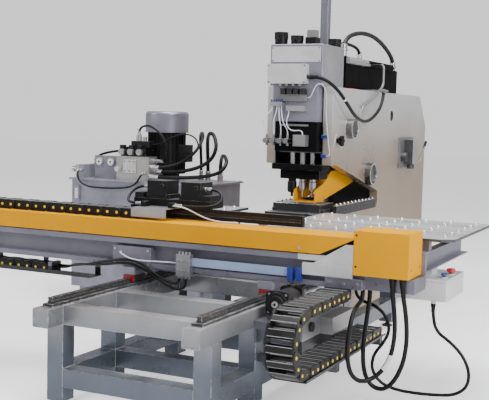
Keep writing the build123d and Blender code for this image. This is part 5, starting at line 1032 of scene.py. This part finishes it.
for name, (length, radius, route) in tank_hoses.items():
    hose(name, "machine", "tank_hoses", route, radius, length, rubber)
    if name != "motor_cable":
        tank_ends += ends_of(route, crimped(radius))
turned("tank_hose_fittings", "machine", fitting_steel, tank_ends)

# %% [markdown]
# Each clamp has a short hose that leads from high at the back down to the front, and both ride
# with the carriage. A white lead runs down to the right from beside one of them. It ends in a
# plug, which is a turned piece that belongs to the lead.

# %% Hoses of the clamps
clamp_hose_radius = 0.008
clamp_hoses = {
    "clamp_hose_left": (0.341, [
    (-0.486, -1.4, 1.122), (-0.53, -1.4, 1.122), (-0.584, -1.416, 1.108), (-0.608, -1.458, 1.066),
    (-0.592, -1.504, 1.032), (-0.538, -1.52, 1.023), (-0.47, -1.52, 1.023),
]),
    "clamp_hose_right": (0.491, [
    (-0.118, -1.4, 1.122), (-0.066, -1.4, 1.122), (-0.004, -1.412, 1.112), (0.03, -1.442, 1.074),
    (0.01, -1.482, 1.036), (-0.056, -1.51, 1.024), (-0.146, -1.52, 1.023), (-0.25, -1.52, 1.023),
]),
}
clamp_ends = []
for name, (length, route) in clamp_hoses.items():
    hose(name, "clamp_carriage", "clamp_hoses", route, clamp_hose_radius, length, rubber)
    clamp_ends += ends_of(route, crimped(clamp_hose_radius))
turned("clamp_hose_fittings", "clamp_carriage", fitting_steel, clamp_ends)
clamp_lead = [
    (-0.25, -1.54, 1.023), (-0.212, -1.54, 1.023), (-0.156, -1.532, 1.01), (-0.104, -1.512, 0.982),
    (-0.046, -1.494, 0.956), (0.016, -1.488, 0.945), (0.084, -1.486, 0.943), (0.15, -1.484, 0.944),
]
plug_profile = [(-0.002, 0.0045), (0.0, 0.0056), (0.030, 0.0056), (0.031, 0.0046), (0.042, 0.0046)]
plug_rings = ends_of(clamp_lead, plug_profile, (-1,))
lead_plug = turned("lead_plug", "clamp_carriage", tag_white, plug_rings)
hose(
    "clamp_lead", "clamp_carriage", "clamp_hoses", clamp_lead, 0.004, 0.420, white_tube,
)

# %% [markdown]
# Two power cables hang in loops under the drive box, and a longer one under the control box.
# They ride on the gantry. Each leaves its box through a rubber sleeve, and one has a tag.

# %% Cables of the gantry
gantry_cables = {
    "drive_cable_front": (1.321, 0.012, [
    (1.15, -1.68, 0.743), (1.15, -1.68, 0.676), (1.164, -1.664, 0.556), (1.162, -1.64, 0.424),
    (1.134, -1.62, 0.3), (1.074, -1.626, 0.206), (1.004, -1.69, 0.172), (0.972, -1.786, 0.236),
    (0.972, -1.846, 0.36), (0.982, -1.846, 0.49), (0.984, -1.8, 0.566), (0.982, -1.734, 0.592),
    (0.98, -1.676, 0.6), (0.98, -1.646, 0.626), (0.98, -1.646, 0.665),
]),
    "drive_cable_rear": (1.272, 0.012, [
    (1.205, -1.68, 0.743), (1.205, -1.68, 0.676), (1.224, -1.66, 0.554), (1.226, -1.632, 0.414),
    (1.204, -1.608, 0.29), (1.16, -1.592, 0.19), (1.106, -1.586, 0.128), (1.046, -1.588, 0.124),
    (1, -1.594, 0.168), (0.98, -1.602, 0.246), (0.978, -1.604, 0.352), (0.988, -1.602, 0.46),
    (0.999, -1.6, 0.562), (1.005, -1.6, 0.62), (1.005, -1.6, 0.665),
]),
    "control_cable": (1.694, 0.009, [
    (1.29, -1.375, 0.578), (1.29, -1.375, 0.5), (1.316, -1.378, 0.424), (1.39, -1.384, 0.382),
    (1.464, -1.39, 0.318), (1.506, -1.396, 0.232), (1.498, -1.402, 0.15), (1.434, -1.406, 0.1),
    (1.34, -1.408, 0.086), (1.223, -1.412, 0.08), (1.104, -1.42, 0.086), (1.02, -1.436, 0.12),
    (0.976, -1.45, 0.196), (0.994, -1.46, 0.282), (1.048, -1.47, 0.348), (1.086, -1.48, 0.426),
    (1.064, -1.49, 0.506), (1, -1.498, 0.558), (0.928, -1.5, 0.572), (0.886, -1.5, 0.612),
    (0.886, -1.5, 0.665),
]),
}
tags_on = {"drive_cable_front": (0.26, 0.32)}
reliefs = []
for name, (length, radius, route) in gantry_cables.items():
    if name in tags_on:
        tag = band(points_of(route), *tags_on[name], radius * 1.12)
        turned(name + "_tag", "gantry", tag_white, [tag])
    hose(name, "gantry", "gantry_cables", route, radius, length, cable_rubber)
    reliefs += ends_of(route, relieved(radius), (0,))
turned("gantry_cable_reliefs", "gantry", sleeve_black, reliefs)

# %% [markdown]
# Along the front of the beam two cables run from the X chain to the valve block, with a thin
# white air tube above them. They lie in loose waves, as cables do between two ties.

# %% Cables of the beam
beam_cables = {
    "beam_cable_lower": (1.127, 0.007, cable_rubber, [
    (-1.07, -1.58, 0.592), (-1.01, -1.58, 0.592), (-0.94, -1.614, 0.608), (-0.87, -1.668, 0.634),
    (-0.79, -1.706, 0.65), (-0.69, -1.714, 0.655), (-0.59, -1.718, 0.666), (-0.5, -1.722, 0.684),
    (-0.4, -1.722, 0.686), (-0.31, -1.718, 0.65), (-0.23, -1.714, 0.604), (-0.16, -1.714, 0.572),
    (-0.096, -1.714, 0.562), (-0.056, -1.714, 0.584), (-0.056, -1.714, 0.63),
]),
    "beam_cable_upper": (1.075, 0.007, cable_rubber, [
    (-1.07, -1.55, 0.6), (-1.006, -1.55, 0.6), (-0.93, -1.59, 0.614), (-0.85, -1.656, 0.632),
    (-0.77, -1.704, 0.648), (-0.67, -1.712, 0.668), (-0.566, -1.716, 0.69), (-0.46, -1.722, 0.71),
    (-0.36, -1.722, 0.7), (-0.29, -1.716, 0.654), (-0.226, -1.714, 0.622), (-0.162, -1.714, 0.598),
    (-0.1, -1.714, 0.596), (-0.1, -1.714, 0.63),
]),
    "beam_air_tube": (0.417, 0.004, white_tube, [
    (-0.112, -1.714, 0.716), (-0.152, -1.714, 0.716), (-0.224, -1.73, 0.716),
    (-0.3, -1.738, 0.714), (-0.376, -1.739, 0.714), (-0.44, -1.736, 0.724), (-0.48, -1.731, 0.742),
    (-0.502, -1.722, 0.75), (-0.502, -1.702, 0.75),
]),
}
for name, (length, radius, skin, route) in beam_cables.items():
    hose(name, "gantry", "beam_cables", route, radius, length, skin)

# %% [markdown]
# Many small things repeat along a line: the yellow pins of the cable chains, their cross bars,
# the steel balls of the tables, screws and plugs. One tree of Geometry Nodes for each shape
# puts a copy on each point it is given, turned the way the point asks. The export can't read
# instances, so every tree ends by making them real and giving them their material.


# %% Geometry Nodes: helpers
def node_tree(name, sockets):
    """A new Geometry Nodes tree with a mesh input and the named inputs."""
    tree = bpy.data.node_groups.new(name, "GeometryNodeTree")
    tree.interface.new_socket("Points", in_out="INPUT", socket_type="NodeSocketGeometry")
    for label, kind in sockets:
        tree.interface.new_socket(label, in_out="INPUT", socket_type=kind)
    tree.interface.new_socket("Geometry", in_out="OUTPUT", socket_type="NodeSocketGeometry")
    return tree, tree.nodes.new("NodeGroupInput").outputs, tree.nodes.new("NodeGroupOutput").inputs


def copies_on_points(tree, points, shape, material, result):
    """Copies of the shape on the points, turned by their own attribute, as real faces."""
    turns = put(tree, "GeometryNodeInputNamedAttribute", {"Name": "turned"}, data_type="FLOAT_VECTOR")
    turn_by = put(tree, "FunctionNodeEulerToRotation", {0: turns.outputs[0]})
    placed = put(
        tree,
        "GeometryNodeInstanceOnPoints",
        {"Points": points, "Instance": shape, "Rotation": turn_by.outputs[0]},
    )
    real = put(tree, "GeometryNodeRealizeInstances", {0: placed.outputs[0]})
    dressed = put(tree, "GeometryNodeSetMaterial", {0: real.outputs[0], "Material": material})
    tree.links.new(dressed.outputs[0], result[0])


# %% [markdown]
# Three shapes are enough for all of them: a flat disc for pins and screw heads, a bar for the
# chains, and a ball for the tables and the weld beads. Their sizes are inputs of the trees, so
# one tree serves a small screw and a gauge alike.

# %% Geometry Nodes: discs, bars and balls
discs, given, result = node_tree(
    "discs_on_points",
    [
        ("Radius", "NodeSocketFloat"),
        ("Height", "NodeSocketFloat"),
        ("Sides", "NodeSocketInt"),
        ("Material", "NodeSocketMaterial"),
    ],
)
disc = put(
    discs,
    "GeometryNodeMeshCylinder",
    {"Vertices": given["Sides"], "Radius": given["Radius"], "Depth": given["Height"]},
    fill_type="NGON",
)
copies_on_points(discs, given["Points"], disc.outputs[0], given["Material"], result)

bars, given, result = node_tree(
    "bars_on_points", [("Size", "NodeSocketVector"), ("Material", "NodeSocketMaterial")]
)
bar = put(bars, "GeometryNodeMeshCube", {"Size": given["Size"]})
copies_on_points(bars, given["Points"], bar.outputs[0], given["Material"], result)

balls, given, result = node_tree(
    "balls_on_points",
    [("Radius", "NodeSocketFloat"), ("Segments", "NodeSocketInt"), ("Material", "NodeSocketMaterial")],
)
rings = reckon(balls, "MULTIPLY", given["Segments"], 0.6)
ball = put(
    balls,
    "GeometryNodeMeshUVSphere",
    {"Segments": given["Segments"], "Rings": rings, "Radius": given["Radius"]},
)
round_ball = put(balls, "GeometryNodeSetShadeSmooth", {0: ball.outputs[0]})
copies_on_points(balls, given["Points"], round_ball.outputs[0], given["Material"], result)
print("trees", [t.name for t in bpy.data.node_groups if t.bl_idname == "GeometryNodeTree"])

# %% [markdown]
# The next function hands a list of places to a tree. It sets each input by the identifier of
# its socket, takes the evaluated result as a plain mesh, and throws the points away. What is
# left is an ordinary piece that rides on one body of the machine.


# %% Small shapes on a list of places
def repeat(name, body, like, tree, places, **inputs):
    """A plain mesh of small shapes on (place, turn) pairs, riding on a body of the frame."""
    mesh = bpy.data.meshes.new(name + "_points")
    mesh.from_pydata([place for place, turn in places], [], [])
    turns = mesh.attributes.new("turned", "FLOAT_VECTOR", "POINT")
    turns.data.foreach_set("vector", [angle for place, turn in places for angle in turn])
    holder = bpy.data.objects.new(name + "_points", mesh)
    bpy.context.collection.objects.link(holder)
    modifier = holder.modifiers.new("repeat", "NODES")
    modifier.node_group = tree
    for socket in tree.interface.items_tree:
        if socket.in_out == "INPUT" and socket.name in inputs:
            modifier[socket.identifier] = inputs[socket.name]
    seen = holder.evaluated_get(bpy.context.evaluated_depsgraph_get())
    solid = bpy.data.meshes.new_from_object(seen)
    solid.name = name
    bpy.data.objects.remove(holder)
    made = bpy.data.objects.new(name, solid)
    bpy.context.collection.objects.link(made)
    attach(made, body)
    print(name, len(places), "copies,", len(solid.polygons), "faces")
    return made


# %% [markdown]
# The cable chains are black nylon. Each link is joined to the next by a pin with a yellow cap,
# and wide bars close it above and below. Pale lips along the bars are painted highlights. The
# links of a bend stand on a half circle, so their pins are the corners of a regular polygon.
# These are the same sums as in the CAD source, which keeps the caps on the pins of the CAD links.

# %% Places along a chain
pitch = 0.0668
quarter = math.pi / 2


def straight_places(start, count, height):
    """Pins and link middles of a straight run, as (along, up, turn)."""
    pins = [(start + i * pitch, height, 0) for i in range(count + 1)]
    middles = [(start + (i + 0.5) * pitch, height, 0) for i in range(count)]
    return pins, middles


def bend_rise(count):
    """Height between the two runs that a bend of this many links joins."""
    return pitch / math.sin(math.pi / count / 2)


def bend_places(centre, bottom, count):
    """Pins and link middles of a half turn that bulges towards smaller values."""
    step = math.pi / count
    reach = bend_rise(count) / 2
    inner = reach * math.cos(step / 2)
    height = bottom + reach
    pins, middles = [], []
    for i in range(count + 1):
        angle = quarter + i * step
        pins.append((centre + reach * math.cos(angle), height + reach * math.sin(angle), angle - quarter))
    for i in range(count):
        angle = quarter + (i + 0.5) * step
        middles.append((centre + inner * math.cos(angle), height + inner * math.sin(angle), angle - quarter))
    return pins, middles


y_bend, y_low, y_bend_links = -2.27, 0.335, 7
x_bend, x_high, x_bend_links = -1.93, 0.969, 9
x_low = x_high - bend_rise(x_bend_links)
joint_gap = 0.0004
chain_runs = {
    "y_chain_lower": straight_places(y_bend + joint_gap, 17, y_low),
    "y_chain_bend": bend_places(y_bend, y_low, y_bend_links),
    "y_chain_upper": straight_places(y_bend + joint_gap, 9, y_low + bend_rise(y_bend_links)),
    "x_chain_lower": straight_places(x_bend + joint_gap, 12, x_low),
    "x_chain_bend": bend_places(x_bend, x_low, x_bend_links),
    "x_chain_upper": straight_places(x_bend + joint_gap, 22, x_high),
}
print("links", {run: len(middles) for run, (pins, middles) in chain_runs.items()})

# %% [markdown]
# The X chain lies along the beam and the Y chain across it, so one small function turns a
# place along a chain into a place in the machine. Caps sit on both sides of each pin. Bars and
# lips sit on the upper and the lower face of each link, turned with it.

# %% Chain caps, bars and lips
yellow_cap = finish("pin_yellow", (0.80, 0.58, 0.0), 0.45, clouded=0.05, wear_amount=0.0, dusty=0.1)
# The pale grey of the lips is a painted highlight on the edges of the bars.
bar_highlight_grey = finish("bar_lip_highlight", (0.30, 0.30, 0.31), 0.4, dusty=0.1, wear_amount=0.0)
chain_sides = {"y": (0.930, 0.774), "x": (-1.620, -1.504)}
link_face = 0.0262
lip_shift = 0.0168
bar_wide, bar_thick = 0.034, 0.0034
lip_wide, lip_thick = 0.0028, 0.0044
side_wall = 0.010


def in_machine(way, across, spot, up, turn=None):
    """A (place, turn) pair in the machine's frame, for a chain that runs along x or y."""
    if way == "y":
        return (across, spot, up), (0, quarter, 0) if turn is None else (turn, 0, 0)
    return (spot, across, up), (quarter, 0, 0) if turn is None else (0, -turn, 0)


for run, (pins, middles) in chain_runs.items():
    way, body = run[0], body_of_node[run]
    side, other_side = chain_sides[way]
    middle = (side + other_side) / 2
    caps = [in_machine(way, edge, spot, up) for spot, up, turn in pins for edge in (side, other_side)]
    crossing = {"_bars": [], "_bar_lip_highlights": []}
    for spot, up, turn in middles:
        for face in (link_face, -link_face):
            for shift, label in ((0.0, "_bars"), (lip_shift, "_bar_lip_highlights"), (-lip_shift, "_bar_lip_highlights")):
                u = spot - face * math.sin(turn) + shift * math.cos(turn)
                v = up + face * math.cos(turn) + shift * math.sin(turn)
                crossing[label].append(in_machine(way, middle, u, v, turn))
    repeat(run + "_caps", body, run, discs, caps, Radius=0.0088, Height=0.003, Sides=12, Material=yellow_cap)
    span = abs(other_side - side) - 2 * side_wall
    for label, wide, thick, colour in (
        ("_bars", bar_wide, bar_thick, chain_black),
        ("_bar_lip_highlights", lip_wide, lip_thick, bar_highlight_grey),
    ):
        size = (span, wide, thick) if way == "y" else (wide, span, thick)
        repeat(run + label, body, run, bars, crossing[label], Size=size, Material=colour)

# %% [markdown]
# The tables carry steel balls that turn in small cups, so a heavy plate rolls over them. The
# CAD pieces already have the cups. A polished ball goes into each one, on the same grid as the
# cups: as many as fit at about 150 mm, spread evenly between the edges.

# %% Balls of the tables and of the throat
ball_steel = finish(
    "ball_steel", (0.72, 0.72, 0.74), 0.12, metallic=1.0, clouded=0.05, wear_amount=0.0, dusty=0.0
)
flat = (0, 0, 0)
ball_pitch, ball_inset = 0.150, 0.075
table_front, table_rear = -1.410, -0.440
front_row = table_front + 0.130
rear_row = table_rear - ball_inset
ball_height = 0.9335


def table_places(left, right):
    """The middle of each ball of a table between two edges."""
    span_x, span_y = right - left - 2 * ball_inset, rear_row - front_row
    count_x, count_y = round(span_x / ball_pitch) + 1, round(span_y / ball_pitch) + 1
    step_x, step_y = span_x / (count_x - 1), span_y / (count_y - 1)
    return [
        ((left + ball_inset + i * step_x, front_row + j * step_y, ball_height), flat)
        for i in range(count_x)
        for j in range(count_y)
    ]


ball_look = {"Segments": 16, "Material": ball_steel}
for table, left, right in (("right_table", 0.290, 1.390), ("left_table", -0.720, -0.282)):
    repeat(table + "_balls", "gantry", table, balls, table_places(left, right), Radius=0.0118, **ball_look)
bar_front, bar_rear, bar_x, bar_count = -0.110, 0.755, 0.229, 11
bar_step = (bar_rear - bar_front) / bar_count
bar_balls = [
    ((x, bar_front + (i + 0.5) * bar_step, 0.953), flat) for x in (-bar_x, bar_x) for i in range(bar_count)
]
repeat("throat_balls", "machine", "throat_ball_bars", balls, bar_balls, Radius=0.0125, **ball_look)

# %% [markdown]
# Screws hold the covers, plates and lids. Each is a low head on a face, and the disc tree sets
# them on lists of places, turned to the front, to the side or up. Six sides make a hexagon
# bolt, and twelve are round enough for a cap screw of this size.

# %% Screws of the gantry
screw_black = finish("screw_black", (0.01, 0.01, 0.011), 0.4, metallic=0.3, wear_amount=0.0, dusty=0.1)
screw_zinc = finish("screw_zinc", (0.45, 0.45, 0.46), 0.3, metallic=0.9, wear_amount=0.0, dusty=0.1)
to_front, to_side = (quarter, 0, 0), (0, quarter, 0)


def screws(name, like, places, turn, radius=0.006, height=0.005, material=screw_black, sides=12):
    """Screw heads on a face of a CAD piece, riding with it."""
    return repeat(
        name, body_of_node[like], like, discs, [(place, turn) for place in places],
        Radius=radius, Height=height, Sides=sides, Material=material,
    )


box_screw_low = 0.79
screws("box_front_screws", "drive_box", [(0.953, -1.699, z) for z in (box_screw_low, 0.955)], to_front)
screws("box_top_screws", "drive_box", [(x, -1.665, 0.977) for x in (0.958, 1.222)], flat)
screws("box_side_screws", "drive_box", [(1.239, y, box_screw_low) for y in (-1.66, -1.50)], to_side)
screws("cover_end_screw", "beam_cover", [(0.63, -1.699, 0.862)], to_front, radius=0.008, material=screw_zinc)
cover_places = [(-1.60 + 0.35 * i, -1.685, 0.937) for i in range(8)]
screws("cover_top_screws", "beam_cover", cover_places, flat, height=0.002)
plate_places = [(x, -1.7035, z) for x in (-0.545, -0.318) for z in (0.68, 0.765)]
hexagon = {"material": screw_zinc, "sides": 6}
screws("beam_plate_screws", "x_beam", plate_places, to_front, radius=0.008, height=0.007, **hexagon)

# %% [markdown]
# The same function serves the fixed machine. The gauges of the power unit are discs too: a pale
# face, and a dark pin in the middle of it. Rail screws sit in rows, 60 mm apart, sunk so far
# that only a dark disc shows.

# %% Screws and gauges of the machine
plate_corners = [(x, -0.3382, z) for x in (-0.173, 0.171) for z in (1.951, 2.039)]
screws("sign_screws", "head_housing", plate_corners, to_front, radius=0.004, height=0.003)
lid_corners = [(x, -0.402, z) for x in (-0.173, 0.09) for z in (1.803, 1.917)]
screws("lid_screws", "head_junction_box", lid_corners, to_front, radius=0.005, height=0.003)
lid_edge = [(-2.175 + 0.205 * i, y, 1.026) for i in range(7) for y in (0.100, 0.760)]
screws("tank_lid_bolts", "oil_tank", lid_edge, flat, radius=0.008, height=0.008, **hexagon)
flange_x, flange_z, bolt_reach = 0.600, 0.588, 0.048
reaches = (-bolt_reach, bolt_reach)
flange_corners = [(flange_x + x, -1.9025, flange_z + z) for x in reaches for z in reaches]
screws("motor_flange_screws", "y_servo_motor", flange_corners, to_front, radius=0.007, material=screw_zinc)
rail_places = [(x, -2.43 + 0.06 * i, 0.6002) for x in (-0.440, 0.440) for i in range(49)]
screws("rail_screws", "y_rails", rail_places, flat, radius=0.005, height=0.0006)
plug_places = [(x, 0.1495, z) for x in (-1.755, -1.545, -1.495) for z in (1.05, 1.10, 1.15, 1.20)]
screws("manifold_plugs", "valve_stack", plug_places, to_front, radius=0.008, height=0.004, **hexagon)
hole_places = [(x, 0.1338, z) for x in (-1.684, -1.640, -1.596) for z in (1.102, 1.178)]
screws("manifold_holes", "valve_stack", hole_places, to_front, radius=0.005, height=0.001)
gauge_face = finish("gauge_face", (0.70, 0.70, 0.68), 0.3, wear_amount=0.0, dusty=0.0)
gauge_xs, gauge_z = (-1.957, -1.844), 1.165
screws(
    "gauge_faces", "valve_stack", [(x, 0.1675, gauge_z) for x in gauge_xs], to_front, radius=0.026,
    height=0.002, material=gauge_face, sides=24,
)
pin_places = [(x, 0.166, gauge_z) for x in gauge_xs]
screws("gauge_pins", "valve_stack", pin_places, to_front, radius=0.008, height=0.002)
die_places = [(x, -0.220 + 0.05 * i, 0.927) for x in (-0.184, 0.184) for i in range(5)]
screws("die_screws", "die_block", die_places, flat, radius=0.007, height=0.004)

# %% [markdown]
# The weld beads of the bed are rows of small balls, half sunk into the corner between two
# tubes, the way the ripples of a real bead overlap. There are hundreds of them, so each ball
# has only eight segments.

# %% Weld beads
bead_step, bead_count, bead_start = 0.007, 14, 0.004
tube, leg_face = 0.100, 0.390
beads = []
for front in (-2.415, -1.920, -1.200, -0.560):
    for bottom in (0.120, 0.455):
        for x in (-leg_face, leg_face):
            for i in range(bead_count):
                rise = bead_start + i * bead_step
                beads += [((x, y, bottom + rise), flat) for y in (front, front + tube)]
                beads.append(((x, front + rise, bottom + tube), flat))
weld_grey = finish("weld_bead", (0.30, 0.30, 0.32), 0.4, metallic=0.6, wear_amount=0.0, dusty=0.1)
repeat("bed_welds", "machine", "bed_frame", balls, beads, Radius=0.0042, Segments=8, Material=weld_grey)
